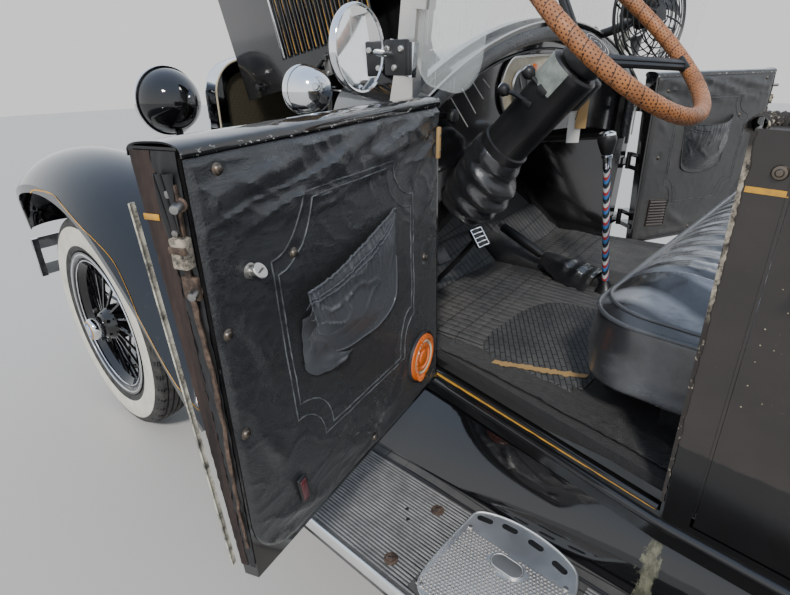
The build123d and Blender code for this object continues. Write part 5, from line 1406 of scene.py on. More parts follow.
def roundedRing(x0, x1, half, frontCorner, backCorner, count=280):
    # evenly spaced points round a rectangle with rounded corners
    spots = []
    for cx, cy, first, corner in ((x1, half, 0, frontCorner), (x0, half, 90, backCorner),
                                  (x0, -half, 180, backCorner), (x1, -half, 270, frontCorner)):
        mx = cx - corner if cx == x1 else cx + corner
        my = cy - corner if cy > 0 else cy + corner
        for k in range(13):
            turn = radians(first + 90 * k / 12)
            spots.append((mx + corner * cos(turn), my + corner * sin(turn)))
    spots.append(spots[0])
    runs = [hypot(b[0] - a[0], b[1] - a[1]) for a, b in zip(spots, spots[1:])]
    total, ring, k, passed = sum(runs), [], 0, 0
    for step in range(count + 1):
        want = min(total * step / count, total - 1e-9)
        while passed + runs[k] < want and k < len(runs) - 1:
            passed += runs[k]
            k += 1
        t = (want - passed) / max(1e-9, runs[k])
        ring.append((spots[k][0] + (spots[k + 1][0] - spots[k][0]) * t,
                     spots[k][1] + (spots[k + 1][1] - spots[k][1]) * t))
    return ring


def cushionShape(x0, x1, half, side, crown, frontCorner, backCorner, pleatHalf, seed):
    # a crowned cushion in its own frame: x along the pleats, y across them, z out of its face
    ring = roundedRing(x0, x1, half, frontCorner, backCorner)
    middle = (x0 + x1) / 2

    def shape(u, v):
        ox, oy = ring[min(len(ring) - 1, int(round(u * (len(ring) - 1))))]
        cy = max(-(half - 0.19), min(half - 0.19, oy))
        reach = hypot(ox - middle, oy - cy)
        lump = ripple(ox * 6, oy * 6, seed)
        if v <= 0.66:
            share = v / 0.66
            x, y = middle + (ox - middle) * share, cy + (oy - cy) * share
            inside = (1 - share) * reach
            z = side + crown * (1 - (1 - min(1, inside / 0.14)) ** 2.3)
            if abs(y) < pleatHalf + 0.01:
                strength = smoothStep(inside, 0.012, 0.05)
                away = abs((y + pleatPitch / 2) % pleatPitch - pleatPitch / 2) if abs(y) < pleatHalf else pleatPitch
                z += strength * (0.0035 * sin(pi * min(1, away / pleatPitch * 2))
                                 - 0.0075 * exp(-(away / 0.0065) ** 2))
            z += 0.004 * ripple(x * 7, y * 7, seed + 2) * smoothStep(inside, 0, 0.05)
            crease = ridge(x * 17, y * 9, seed + 6)
            z += 0.0018 * max(0, crease) ** 4 * smoothStep(inside, 0, 0.04)
            return Vector((x, y, z))
        if v <= 0.9:
            share = (v - 0.66) / 0.24
            out = 0.008 * sin(pi * share) * (1 + 0.5 * lump) + 0.0025 * ripple(ox * 16, oy * 16, share * 4 + seed)
            push = out / max(0.02, reach)
            return Vector((ox + (ox - middle) * push * 0.9, oy + (oy - cy) * push * 0.9, side * (1 - share)))
        share = (v - 0.9) / 0.1
        return Vector((ox + (middle - ox) * share, oy + (cy - oy) * share, 0))

    return shape


def addCushion(bm, shape, across=191, down=76):
    addGrid(bm, across, down, shape, closed=True)
    for v, radius in ((0.66, 0.004), (0.615, 0.0032)):
        run = [shape(k / 280, v) + Vector((0, 0, 0.0018)) for k in range(280)]
        addRing(bm, run, radius, finish=1)


def makeSeats():
    for row, node, back in (("front", "front_seat_cushion", "front_seat_back"),
                            ("rear", "rear_seat_cushion", "rear_seat_back")):
        x0, x1, half, low, pipe, crown, frontCorner, backCorner, pleats = seatFacts[row]
        bm = bmesh.new()
        seed, cells = (1, (281, 104)) if row == "front" else (5, (191, 76))
        shape = cushionShape(x0, x1, half, pipe - low, crown, frontCorner, backCorner, pleats, seed)
        addCushion(bm, shape, *cells)
        piece = newPiece(node + "_padded", bm, "car", "leather", "seat" if row == "front" else "leather", "pocket",
                         replaced=(node,), place=Matrix.Translation((0, 0, low)), sharp=80)
        if row == "front":
            place, halfBack, tall = frameAt((-0.566, 0, 0.69), (-0.04, 0, 0.391), (1, 0, 0.1)), 0.59, 0.416
        else:
            place, halfBack, tall = frameAt((-1.419, 0, 0.695), (-0.04, 0, 0.391), (1, 0, 0.1)), 0.516, 0.412
        bm = bmesh.new()
        addCushion(bm, cushionShape(0.003, tall, halfBack, 0.042, 0.024, 0.045, 0.02, halfBack - 0.09, 9))
        piece = newPiece(back + "_padded", bm, "car", "leather", "leather", "pocket", replaced=(back,),
                         place=place, sharp=80)


makeSeats()
print("seats made")


# folded top in its boot and the covered spare

bootFacts = {
    "z": 1.179, "half": 0.061,
    "run": [(-1.078, 0.6), (-1.16, 0.599), (-1.24, 0.596), (-1.34, 0.568), (-1.425, 0.505), (-1.475, 0.42),
            (-1.49, 0.33), (-1.49, 0.165), (-1.49, 0)],
}


def makeTopBoot():
    half = bootFacts["half"]
    run = bootFacts["run"] + [(x, -y) for x, y in reversed(bootFacts["run"][:-1])]
    bm = bmesh.new()

    def shape(u, v):
        spot = Vector(along(run, u))
        ahead = Vector(along(run, min(1, u + 0.004))) - Vector(along(run, max(0, u - 0.004)))
        out = Vector((-ahead.y, ahead.x)).normalized()
        turn = 2 * pi * v
        square = 1 / max(abs(cos(turn)), abs(sin(turn))) ** 0.62
        close = smoothStep(min(u, 1 - u), -0.001, 0.012) ** 0.5
        fold = ridge(u * 46, cos(turn) * 1.1, sin(turn) * 1.1)
        swell = 0.93 + 0.05 * ripple(u * 14, cos(turn), sin(turn) + 3) + 0.055 * max(0, fold) ** 3
        reach = half * square * min(1.03, swell) * close
        sag = -0.1 * half * max(0, cos(turn)) * (1 if sin(turn) < 0 else 0)
        return Vector((spot.x + out.x * reach * cos(turn), spot.y + out.y * reach * cos(turn),
                       bootFacts["z"] + reach * 0.97 * sin(turn) + sag))

    addGrid(bm, 320, 36, shape, closed=True)
    for v in (0.5, 0.02):
        addRail(bm, [shape(k / 160, v) for k in range(1, 160)], 0.0022, sides=1)
    piece = newPiece("top_boot_cover", bm, "car", "top_cloth", "canvas", replaced=("top_boot",), sharp=80)
    bm = bmesh.new()
    for u in (0.1, 0.24, 0.38, 0.5, 0.62, 0.76, 0.9):
        ring = [shape(u, k / 32) for k in range(32)]
        middle = sum(ring, Vector()) / 32
        ring = [middle + (p - middle) * 1.02 for p in ring]
        for step in (-0.006, 0, 0.006):
            ahead = (Vector(along(run, min(1, u + 0.01))) - Vector(along(run, u - 0.01))).normalized()
            addRing(bm, [p + Vector((ahead.x, ahead.y, 0)) * step for p in ring], 0.003, sides=1)
        spot = ring[8]
        addBox(bm, frameAt(spot + Vector((0, 0, 0.003)), (ahead.x, ahead.y, 0)), (0.026, 0.022, 0.004), 0.0015, 2, 1)
    for u in (0.03, 0.17, 0.31, 0.45, 0.55, 0.69, 0.83, 0.97):
        spot = shape(u, 0.62)
        addLathe(bm, [(0, 0.004), (0.005, 0.0035), (0.0078, 0)], spot,
                 spot - Vector((*along(run, u), bootFacts["z"])), 16, 1)
    newPiece("top_boot_straps", bm, "car", "top_cloth", "canvas", "nickel")


def makeSpare():
    bm = bmesh.new()
    rim = [(0, -0.15), (0.1, -0.15), (0.24, -0.148), (0.325, -0.14), (0.355, -0.12), (0.366, -0.085), (0.3675, -0.06),
           (0.366, -0.03), (0.352, -0.008), (0.325, 0), (0.22, 0.002), (0.215, -0.002)]

    def cover(u, v):
        reach, depth = along(rim, v)
        turn = 2 * pi * u
        fold = ridge(cos(turn) * 5, sin(turn) * 5, v * 2)
        depth -= 0.004 * ripple(cos(turn) * reach * 9, sin(turn) * reach * 9, 2) * (0.2 + 0.8 * min(1, reach / 0.2))
        reach -= 0.003 * max(0, fold) ** 3
        return Vector((-1.563 + depth, max(0, reach) * sin(turn), 0.72 + max(0, reach) * cos(turn)))

    addGrid(bm, 110, 50, cover, closed=True)
    for v in (0.345, 0.72):
        addRing(bm, [cover(k / 120, v) for k in range(120)], 0.003)
    piece = newPiece("spare_cover", bm, "car", "top_cloth", "canvas", replaced=("spare_wheel",), sharp=80)
    bm = bmesh.new()
    addRail(bm, [(-1.64, 0, 0.43), (-1.575, 0, 0.4), (-1.562, 0, 0.72), (-1.52, 0, 0.76)], 0.014)
    for side in (1, -1):
        addRail(bm, [(-1.575, side * 0.26, 0.47), (-1.562, side * 0.1, 0.62), (-1.562, 0, 0.72)], 0.012)
        addRail(bm, [(-1.575, side * 0.26, 0.47), (-1.5, side * 0.3, 0.5)], 0.012)
    newPiece("spare_carrier", bm, "car", "chassis_black", "satin")


makeTopBoot()
makeSpare()
print("top boot and spare made")


# floor mats

floorTree = surfaceOf("floor", "toe_board")


def floorAt(x, y, lift):
    hit = floorTree.ray_cast(Vector((x, y, 0.95)), Vector((0, 0, -1)))[0]
    return Vector((x, y, (hit.z if hit else 0.61) + lift))


def inWeave(x, y):
    # the woven patch in front of the seat has a rounded outline
    return (abs(x - 0.004) / 0.14) ** 3 + (abs(y - 0.297) / 0.182) ** 3 < 1


def addMat(bm, x0, x1, y0, y1, across, down, lift, weave):
    # ribs run along the car; a woven patch lies near the seat
    def shape(u, v):
        x, y = x0 + (x1 - x0) * u, y0 + (y1 - y0) * v
        edge = min(u, 1 - u, v, 1 - v)
        rib = abs(((y + 0.004 * sin(x * 14)) / 0.02) % 1 - 0.5) * 2
        rise = 0.0026 * smoothStep(rib, 0.16, 0.42)
        if weave and inWeave(x, y):
            rise = 0.0022
        elif abs(((x + 0.1 * y) / 0.052) % 1 - 0.5) > 0.44 and x > 0.16:
            rise *= 0.3
        rise += 0.004 * ripple(x * 6, y * 6, 4)
        return floorAt(x, y, lift + rise * smoothStep(edge, 0, 0.03) - 0.004 * (1 - smoothStep(edge, 0, 0.02)))

    addGrid(bm, across, down, shape, thick=-0.0015)


def makeFloor():
    bm = bmesh.new()
    addMat(bm, -0.1, 0.475, -0.035, 0.435, 130, 176, 0.006, True)
    addMat(bm, -0.086, 0.1, 0.3, 0.456, 50, 60, 0.005, True)
    for face in bm.faces:
        middle = face.calc_center_median()
        face.material_index = 1 if inWeave(middle.x, middle.y) else 0
    newPiece("floor_mat_left", bm, "car", "rubber_mat", "mat", "weave")
    bm = bmesh.new()
    addMat(bm, -0.1, 0.475, -0.44, -0.115, 96, 120, 0.006, False)
    newPiece("floor_mat_right", bm, "car", "rubber_mat", "mat")
    bm = bmesh.new()

    def mound(u, v):
        x, turn = -0.1 + 0.55 * u, pi * v
        rise = 0.004 + 0.03 * sin(turn) ** 0.7 * smoothStep(min(u, 1 - u), -0.01, 0.12)
        return Vector((x, -0.075 - 0.058 * cos(turn), floorAt(x, -0.075, 0).z + rise))

    addGrid(bm, 60, 20, mound, flip=True)
    newPiece("floor_tunnel_cover", bm, "car", "rubber_mat", "carpet")
    bm = bmesh.new()
    worn = [(0.068, 0.468), (0.045, 0.462), (0.017, 0.448), (-0.025, 0.432), (-0.06, 0.416), (-0.096, 0.398)]

    def torn(u, v):
        x, y = along(worn, u)
        wide = 0.006 + 0.01 * abs(ripple(u * 14, 0, 2)) + 0.003 * ripple(u * 60, v, 2)
        return floorAt(x + 0.004, y + (v - 0.5) * wide * 2, 0.0115)

    addGrid(bm, 90, 6, torn, thick=-0.001)
    addBox(bm, (-0.24, 0.441, 0.652), (0.03, 0.003, 0.02), 0.001, 1, 1)
    for k in range(9):
        spot = Vector((-0.147 + 0.018 * ripple(k, 0.5, 0) * 2, 0.392 + 0.02 * ripple(0, k * 1.3, 4) * 2, 0.615))
        addBox(bm, Matrix.Translation(spot) @ Matrix.Rotation(k * 1.1, 4, "Z"),
               (0.01 + 0.004 * (k % 3), 0.004, 0.003), 0.001, 1, 2)
    newPiece("floor_worn_edge", bm, "car", "rubber_mat", "tan", "cream", "wood")
    bm = bmesh.new()
    edge = [(0.19, 0.492), (0.12, 0.497), (0.033, 0.505), (-0.05, 0.517), (-0.138, 0.529), (-0.22, 0.541),
            (-0.285, 0.552)]

    def carpet(u, v):
        x, y = along(edge, u)
        y += 0.004 * ripple(u * 9, 0, 3)
        return floorAt(x, y - 0.062 * v, 0.006 + 0.003 * ripple(u * 40, v * 6, 1) - 0.004 * smoothStep(v, 0.8, 1))

    addGrid(bm, 100, 24, carpet, thick=-0.003)
    newPiece("floor_sill_carpet", bm, "car", "rubber_mat", "carpet")


makeFloor()
print("floor made")


# running boards and step plates

boardFacts = {"front": 0.556, "back": -0.696, "inner": 0.637, "outer": 0.844, "pitch": 0.0067, "top": 0.396}


def slotShape(centre, run, wide, tall, steps=10):
    # an oval outline lying flat
    run = Vector((run[0], run[1], 0)).normalized()
    side = Vector((-run.y, run.x, 0))
    points = []
    for end in (1, -1):
        for k in range(steps + 1):
            turn = -pi / 2 + pi * k / steps
            points.append(Vector(centre) + run * end * (wide / 2 - tall / 2 + tall / 2 * cos(turn))
                          + side * end * tall / 2 * sin(turn))
    return points


def addOval(bm, centre, run, wide, tall, thick, finish):
    part = bmesh.new()
    face = part.faces.new([part.verts.new(p) for p in slotShape(centre, run, wide, tall)])
    if face.normal.z < 0:
        face.normal_flip()
    part.normal_update()
    bmesh.ops.solidify(part, geom=part.faces[:], thickness=-thick)
    joinPart(bm, part, finish)


def makeBoards():
    front, back, inner, outer, pitch, top = (boardFacts[k]
                                             for k in ("front", "back", "inner", "outer", "pitch", "top"))
    for side, word in ((1, "left"), (-1, "right")):
        bm = bmesh.new()
        count = int((outer - inner) / pitch)
        for k in range(count):
            y = inner + (k + 0.5) * pitch
            for x0, x1 in ((back, -0.232), (-0.012, front)) if 0.612 < y < 0.832 else ((back, front),):
                addBox(bm, ((x0 + x1) / 2, side * y, top + 0.0012), (x1 - x0, 0.0034, 0.003), 0.0008, 1)
        newPiece("running_board_ribs_" + word, bm, "car", "rubber_mat", "ribs")
        bm = bmesh.new()
        y = outer + 0.0025
        addRail(bm, [(back, side * y, top + 0.0006), (front, side * y, top + 0.0006)], 0.004)
        addBox(bm, ((front + back) / 2, side * (y + 0.0026), top - 0.01), (front - back, 0.003, 0.022))
        addRail(bm, [(back, side * 0.632, top + 0.0012), (front, side * 0.632, top + 0.0012)], 0.003, finish=1)
        newPiece("running_board_trim_" + word, bm, "car", "board_aluminium", "aluminium", "plastic")
        bm = bmesh.new()
        for x, y in ((0.046, 0.675), (0.041, 0.811), (-0.42, 0.675), (-0.42, 0.811), (0.47, 0.675), (0.47, 0.811)):
            spot = (x, side * y, top + 0.0024)
            addLathe(bm, [(0, 0), (0.0125, 0), (0.0125, 0.0016), (0.0085, 0.0026), (0.0078, 0.0058), (0.006, 0.0068),
                          (0, 0.007)], spot, (0, 0, 1), 24)
            addBox(bm, Matrix.Translation(Vector(spot) + Vector((0, 0, 0.0069))) @ Matrix.Rotation(0.7, 4, "Z"),
                   (0.011, 0.0018, 0.0012), 0, 1, 1)
        for x, y in ((0.092, 0.71), (0.075, 0.727)):
            addLathe(bm, [(0, 0.0002), (0.0035, 0.0002), (0.0036, 0)], (x, side * y, top + 0.0029), (0, 0, 1), 14, 1)
        newPiece("running_board_bolts_" + word, bm, "car", "worn_nickel", "rusty", "plastic")
        # step plate: rolled edge, slots, bare badge and a knobbed pad
        bm = bmesh.new()
        plate = [(-0.212, 0.634), (-0.198, 0.622), (-0.165, 0.61), (-0.121, 0.604), (-0.076, 0.606), (-0.036, 0.617),
                 (-0.014, 0.632), (-0.011, 0.66), (-0.012, 0.74), (-0.018, 0.8), (-0.034, 0.826), (-0.076, 0.834),
                 (-0.165, 0.834), (-0.206, 0.826), (-0.222, 0.8), (-0.226, 0.74), (-0.224, 0.67)]
        ring = [Vector((*along(plate + plate[:1], k / 120), 0)) for k in range(120)]
        part = bmesh.new()
        part.faces.new([part.verts.new((p.x, side * p.y, top + 0.0062)) for p in ring])
        bmesh.ops.recalc_face_normals(part, faces=part.faces[:])
        if part.faces[:][0].normal.z < 0:
            bmesh.ops.reverse_faces(part, faces=part.faces[:])
        part.normal_update()
        bmesh.ops.solidify(part, geom=part.faces[:], thickness=0.004)
        joinPart(bm, part, 0)
        edge = [Vector((p.x, side * p.y, top + 0.0064)) for p in ring]
        addRing(bm, edge, 0.0017, sides=1)
        for x, y in ((-0.035, 0.637), (-0.08, 0.625), (-0.132, 0.626), (-0.183, 0.639)):
            bend = (1, side * (x + 0.108) * 3.2)
            addOval(bm, (x, side * y, top + 0.0064), bend, 0.03, 0.0115, 0.0004, 1)
        addOval(bm, (-0.116, side * 0.695, top + 0.0066), (1, 0), 0.06, 0.034, 0.002, 2)
        border = slotShape((-0.116, side * 0.695, top + 0.0088), (1, 0), 0.056, 0.03)
        addRing(bm, border, 0.0009, sides=1)
        for x, y in ((-0.024, 0.668), (-0.208, 0.668), (-0.03, 0.816), (-0.208, 0.816)):
            addLathe(bm, [(0, 0.0028), (0.0036, 0.002), (0.0048, 0)], (x, side * y, top + 0.0062), (0, 0, 1), 16, 2)
        pad = bmesh.new()
        rows, columns = 25, 30
        knobCorners = ((0.0033, 0), (0, 0.003), (-0.0033, 0), (0, -0.003))
        for r in range(rows):
            for c in range(columns):
                x, y = -0.214 + (c + (r % 2) * 0.5) * 0.0066, 0.674 + r * 0.006
                if x > -0.022 or hypot((x + 0.116) / 0.036, (y - 0.695) / 0.022) < 1:
                    continue
                base = [pad.verts.new((x + dx, side * (y + dy), top + 0.0062)) for dx, dy in knobCorners]
                tip = pad.verts.new((x, side * y, top + 0.0074))
                for k in range(4):
                    pad.faces.new((base[k], base[(k + 1) % 4], tip))
        bmesh.ops.recalc_face_normals(pad, faces=pad.faces[:])
        joinPart(bm, pad, 3, clean=False)
        newPiece("step_plate_" + word, bm, "car", "board_aluminium", "aluminium", "plastic", "nickel", "padGrey",
                 replaced=("step_plates",), sharp=30)


makeBoards()
print("running boards made")


# body stripes and worn edges

def addRibbon(bm, points, wide, facing, finish=0, lift=0.0006, gaps=0):
    # a painted line: facing gives the surface's outward direction at a point
    part = bmesh.new()
    rows = []
    for k, point in enumerate(points):
        ahead = (points[min(len(points) - 1, k + 1)] - points[max(0, k - 1)]).normalized()
        out = facing(point).normalized()
        side = out.cross(ahead).normalized()
        thin = wide / 2 * (1 - gaps * max(0, ripple(k * 0.37, 2, 0)) * 2)
        rows.append([part.verts.new(point + out * lift + side * thin * step) for step in (1, -1)])
    for a, b in zip(rows, rows[1:]):
        face = part.faces.new((a[0], a[1], b[1], b[0]))
        face.normal_update()
        if face.normal.dot(facing(face.calc_center_median())) < 0:
            face.normal_flip()
    joinPart(bm, part, finish, clean=False)


def sideSpot(x, z, side=1):
    return Vector((x, side * sideOuter(x, z), z))


def rayRun(tree, starts, heading):
    # points where rays meet a surface
    run = []
    for start in starts:
        hit = tree.ray_cast(Vector(start), Vector(heading))
        if hit[0]:
            run.append(hit[0])
    return run


bodyTree = surfaceOf("body_tub", "rear_door_left", "rear_door_right")
fenderTree = surfaceOf("front_fenders", "rear_fenders")
fenderLine = [(1.62, 0.7), (1.56, 0.745), (1.493, 0.784), (1.4, 0.832), (1.316, 0.848), (1.206, 0.85), (1.092, 0.811),
              (1.01, 0.781), (0.93, 0.736), (0.862, 0.672), (0.8, 0.604), (0.729, 0.533), (0.654, 0.48), (0.6, 0.44)]


stripeFacts = {"height": 1.056, "wide": 0.0062}


def makeStripes():
    height, wide = stripeFacts["height"], stripeFacts["wide"]
    bm = bmesh.new()
    for side in (1, -1):
        outward = lambda spot, way=side: Vector((0, way, 0))
        sill = [sideSpot(0.205 - 0.495 * k / 60, 0.5745 + 0.006 * k / 60, side) for k in range(61)]
        addRibbon(bm, sill, 0.0078, outward, gaps=0.3)
        addRibbon(bm, [sideSpot(-0.3 - 0.038 * k / 10, height, side) for k in range(11)], wide, outward)
        # along the tub behind the rear door, round its corner and across the back
        run = rayRun(bodyTree, [(-0.85 - 0.25 * k / 30, side * 1.2, height) for k in range(31)], (0, -side, 0))
        for k in range(61):
            turn = pi / 2 * k / 60
            start = Vector((-1.18 - 0.75 * sin(turn), side * 0.9 * cos(turn), height))
            aim = Vector((-1.05, start.y * 0.33, height)) - start
            hit = bodyTree.ray_cast(start - aim * 0.4, aim.normalized())[0]
            if hit and (hit.x < run[-1].x - 0.004 or abs(hit.y) < abs(run[-1].y) - 0.004):
                run.append(hit)
        addRibbon(bm, run, wide, lambda spot: Vector((min(0, spot.x + 1.05), spot.y * 0.67, 0)))
        spots = (along(fenderLine, k / 110) for k in range(111))
        line = rayRun(fenderTree, [(x, side * 1.2, z) for x, z in spots], (0, -side, 0))
        addRibbon(bm, line, 0.0052, outward, lift=0.001, gaps=0.3)
    newPiece("body_gold_lines", bm, "car", "panel_cream", "gold")
    for name in doorPlaces:
        x0, x1 = (0.215, -0.286) if name.startswith("front") else (-0.345, -0.842)
        bm = bmesh.new()
        addRibbon(bm, [sideSpot(x0 + (x1 - x0) * k / 40, height) for k in range(41)], wide,
                  lambda spot: Vector((0, 1, 0)))
        newPiece(name + "_gold_line", bm, name, "panel_cream", "gold", place=doorPlaces[name])
        # handle on the outer skin
        bm = bmesh.new()
        x = -0.205 if name.startswith("front") else -0.415
        foot = sideSpot(x, 0.985)
        addLathe(bm, [(0, 0), (0.021, 0), (0.02, 0.004), (0.01, 0.007), (0.009, 0.03), (0, 0.031)], foot,
                 (0, 1, 0), 32)
        way = -1 if name.startswith("front") else 1
        run = [(0.012, 0.032, 0), (-0.03, 0.036, 0.002), (-0.085, 0.032, -0.002), (-0.105, 0.028, -0.004)]
        addTube(bm, [foot + Vector((x * way, y, z)) for x, y, z in run], 0.0075, sides=3, taper=(0.9, 1, 0.9, 0.6))
        newPiece(name + "_handle", bm, name, "chrome", "chrome", place=doorPlaces[name])


def makePillarTrim():
    post = bodyFacts["post"]
    for side, word in ((1, "left"), (-1, "right")):
        place = Matrix.Identity(4) if side > 0 else mirrorY
        bm = bmesh.new()

        def edge(u, v):
            # torn welt down the pillar's front corner
            z = 0.6 + 0.512 * v
            wide = 0.0075 + 0.0045 * ripple(v * 22, 0, 1) + 0.003 * ripple(v * 90, 0, 5)
            out = sideOuter(post, z)
            if u < 0.5:
                return Vector((-0.2945 + 0.0012 * ripple(v * 60, u * 4, 3), out - wide * (0.5 - u) * 2, z))
            return Vector((-0.2945 - wide * 0.55 * (u - 0.5) * 2, out + 0.0012, z))

        addGrid(bm, 8, 190, edge, thick=-0.0008)

        def lining(u, v):
            z = 0.62 + 0.49 * v
            inner, outer = sideInner(post, z) - 0.006, sideOuter(post, z) - 0.01
            bulge = 0.0015 + 0.002 * sin(pi * u) + 0.0015 * ripple(v * 16, u * 3, 6)
            return Vector((-0.2955 + bulge, inner + (outer - inner) * u, z))

        addGrid(bm, 14, 120, lining, 1, thick=-0.001)

        def welt(u, v):
            # worn roll over the pillar's top and back along the belt
            turn = 2 * pi * v
            reach = 0.0095 + 0.003 * ripple(u * 8, v * 5, 1) + 0.002 * ripple(u * 30, v * 9, 3)
            y = sideInner(post, 1.115) - 0.004 + (sideOuter(post, 1.115) - sideInner(post, 1.115)) * u
            return Vector((-0.2965 + reach * cos(turn), y, 1.117 + reach * sin(turn) * 0.9))

        addGrid(bm, 60, 18, welt, closed=True)

        def roll(u, v):
            x = post - 0.045 * u
            turn = 2 * pi * v
            reach = 0.0105 + 0.003 * ripple(u * 9, v * 5, 7) + 0.0018 * ripple(u * 30, v * 9, 3)
            return Vector((x, beltLine(x)[0] - 0.048 + reach * cos(turn), 1.117 + reach * sin(turn)))

        addGrid(bm, 60, 18, roll, closed=True)
        newPiece("pillar_trim_" + word, bm, "car", "leather", "torn", "vinyl", place=place, sharp=60)
        # strip that closes the seam before the rear door
        bm = bmesh.new()

        def seam(u, v):
            z = 0.6 + 0.508 * v
            return Vector((-0.3362 - 0.0034 * u, sideOuter(-0.338, z) - 0.0008, z))

        addGrid(bm, 3, 60, seam, thick=-0.0015)
        newPiece("rear_door_seam_" + word, bm, "car", "body_black", "side", place=place)
        bm = bmesh.new()
        foot = Vector((-0.326, sideOuter(-0.326, 1.076), 1.076))
        addLathe(bm, [(0, 0.005), (0.003, 0.0048), (0.0042, 0.003), (0.0066, 0.0026), (0.008, 0)], foot,
                 (0, 1, 0), 24)
        newPiece("curtain_snap_" + word, bm, "car", "worn_nickel", "bronze", place=place)
        # rolled moulding under the door opening
        bm = bmesh.new()
        for z, reach, back in ((0.5835, 0.0048, -0.293), (0.556, 0.009, -0.79)):
            line = [Vector((x, sideOuter(x, z) - 0.001, z))
                    for x in (0.215 + (back - 0.215) * k / 40 for k in range(41))]
            addRail(bm, line, reach, sides=3)
        newPiece("sill_moulding_" + word, bm, "car", "body_black", "clean", place=place)
    bm = bmesh.new()
    for k in range(24):
        # chips of paint on the faded side
        x = -0.33 - 0.2 * abs(ripple(k * 1.7, 0.3, 0)) * 2
        z = 0.9 + 0.16 * ripple(0.4, k * 1.3, 2) * 1.4
        size = 0.0005 + 0.0007 * abs(ripple(k * 2.1, 5, 1)) * 2
        addLathe(bm, [(0, 0.0004), (size, 0.0003), (size * 1.1, 0)], sideSpot(min(x, -0.352), z), (0, 1, 0), 7)
    newPiece("rear_door_left_chips", bm, "rear_door_left", "panel_cream", "cream")


makeStripes()
makePillarTrim()
print("body trim made")


# hood, lamps, mirror and fan

def hoodSection(x):
    share = (x - 0.6) / 0.743
    sizes = zip((0.392, 1.18, 1, 0.11), (0.25, 1.184, 0.6, 0.11))
    half, crownZ, crownR, cornerR = (a + (b - a) * share for a, b in sizes)
    return Vector((x, half - 0.0015, crownZ - crownR + sqrt((crownR - cornerR) ** 2 - (half - cornerR) ** 2)))


def lineTurn(origin, heading, angle):
    return Matrix.Translation(origin) @ Matrix.Rotation(radians(angle), 4, heading) @ Matrix.Translation(-origin)


louvreFacts = {"first": 1.053, "last": 0.64, "count": 13, "width": 0.02, "height": 0.007, "top": 0.034,
               "length": 0.225}
hoodFacts = {"front": 1.337, "back": 0.606}
hoodFront, hoodBack = hoodSection(hoodFacts["front"]), hoodSection(hoodFacts["back"])
topBack, topFront = Vector((0.6, 0, 1.1785)), Vector((1.343, 0, 1.1825))
hoodPlaces = {
    "left": lineTurn(topBack, topFront - topBack, 70) @ lineTurn(hoodBack, hoodFront - hoodBack, -76),
    "right": mirrorY.copy(),
}


def hoodFrame(run, drop, proud=0):
    # a point on the closed side panel: run back from its front edge, drop below the side hinge
    back = (hoodBack - hoodFront).normalized()
    outward = Vector((back.y, -back.x, 0)).normalized()
    if outward.y < 0:
        outward = -outward
    return hoodFront + back * run + Vector((0, 0, -drop)) + outward * (0.0015 + proud), back, outward


def makeHoodTrim():
    count, width, height, top, length = (louvreFacts[k] for k in ("count", "width", "height", "top", "length"))
    pitch = (louvreFacts["first"] - louvreFacts["last"]) / (count - 1)
    for side, place in hoodPlaces.items():
        bm = bmesh.new()
        for k in range(count):
            run = hoodFacts["front"] - louvreFacts["first"] + k * pitch
            # a satin black strip on each louvre's open lip is painted shade standing in for the dark slot behind it;
            # a gold line lies lower on the louvre, and the first louvre's strips are chrome
            spot, back, outward = hoodFrame(run + width - 0.0022, top + length / 2, height + 0.0004)
            addBox(bm, frameAt(spot, (0, 0, 1), outward), (length - 0.004, 0.0042, 0.003), 0.0008, 2,
                   1 if k == 0 else 0)
            low, back, outward = hoodFrame(run + width * 0.52, top + length / 2, height * 0.52 + 0.0012)
            addBox(bm, frameAt(low, (0, 0, 1), outward), (length - 0.01, 0.0052, 0.0014), 0.0005, 1, 2 if k else 1)
        newPiece("hood_%s_louvre_lines" % side, bm, "hood_%s_side" % side, "panel_cream", "satin", "chrome",
                 "gold", place=place)
        bm = bmesh.new()
        spot, back, outward = hoodFrame(hoodFacts["front"] - 1.216, 0.313, 0)
        addLathe(bm, [(0, 0), (0.012, 0), (0.012, 0.003), (0.006, 0.005), (0.0055, 0.014), (0.011, 0.018),
                      (0.0112, 0.024), (0, 0.027)], spot, outward, 28)
        spot, back, outward = hoodFrame(hoodFacts["front"] - 0.848, 0.306, 0.002)
        addBox(bm, frameAt(spot, (0, 0, 1), outward), (0.052, 0.03, 0.004), 0.0015, 2, 1)
        addTube(bm, [spot + outward * 0.01 + Vector((0, 0, 0.016)), spot + outward * 0.018 - back * 0.03,
                     spot + outward * 0.016 - back * 0.07], 0.0058, sides=3)
        for step in (-0.018, 0.018):
            addLathe(bm, studOutline, spot + Vector((0, 0, step)) + outward * 0.002, outward, 14, 2)
        newPiece("hood_%s_fastenings" % side, bm, "hood_%s_side" % side, "worn_nickel", "plastic", "steel",
                 "nickel", place=place)


def addRimmedGlass(bm, centre, look, radius, rim, glassKey, rimKey, ribs=0):
    look = Vector(look).normalized()
    addLathe(bm, [(radius - rim, 0), (radius - rim, 0.004), (radius - rim * 0.4, 0.0072), (radius, 0.004),
                  (radius + 0.0008, -0.004), (radius - 0.001, -0.01)], centre, look, 72, rimKey)
    addLathe(bm, [(radius - rim, 0.0022), (radius * 0.6, 0.004), (0, 0.0052)], centre, look, 72, glassKey)
    for k in range(ribs):
        y = (k / (ribs - 1) - 0.5) * 1.7 * (radius - rim)
        tall = sqrt(max(0, (radius - rim) ** 2 - y ** 2)) * 0.97
        addTube(bm, [centre + look * 0.0046 + Vector((0, y, -tall)), centre + look * 0.0062 + Vector((0, y, 0)),
                     centre + look * 0.0046 + Vector((0, y, tall))], 0.0011, sides=0, finish=glassKey)


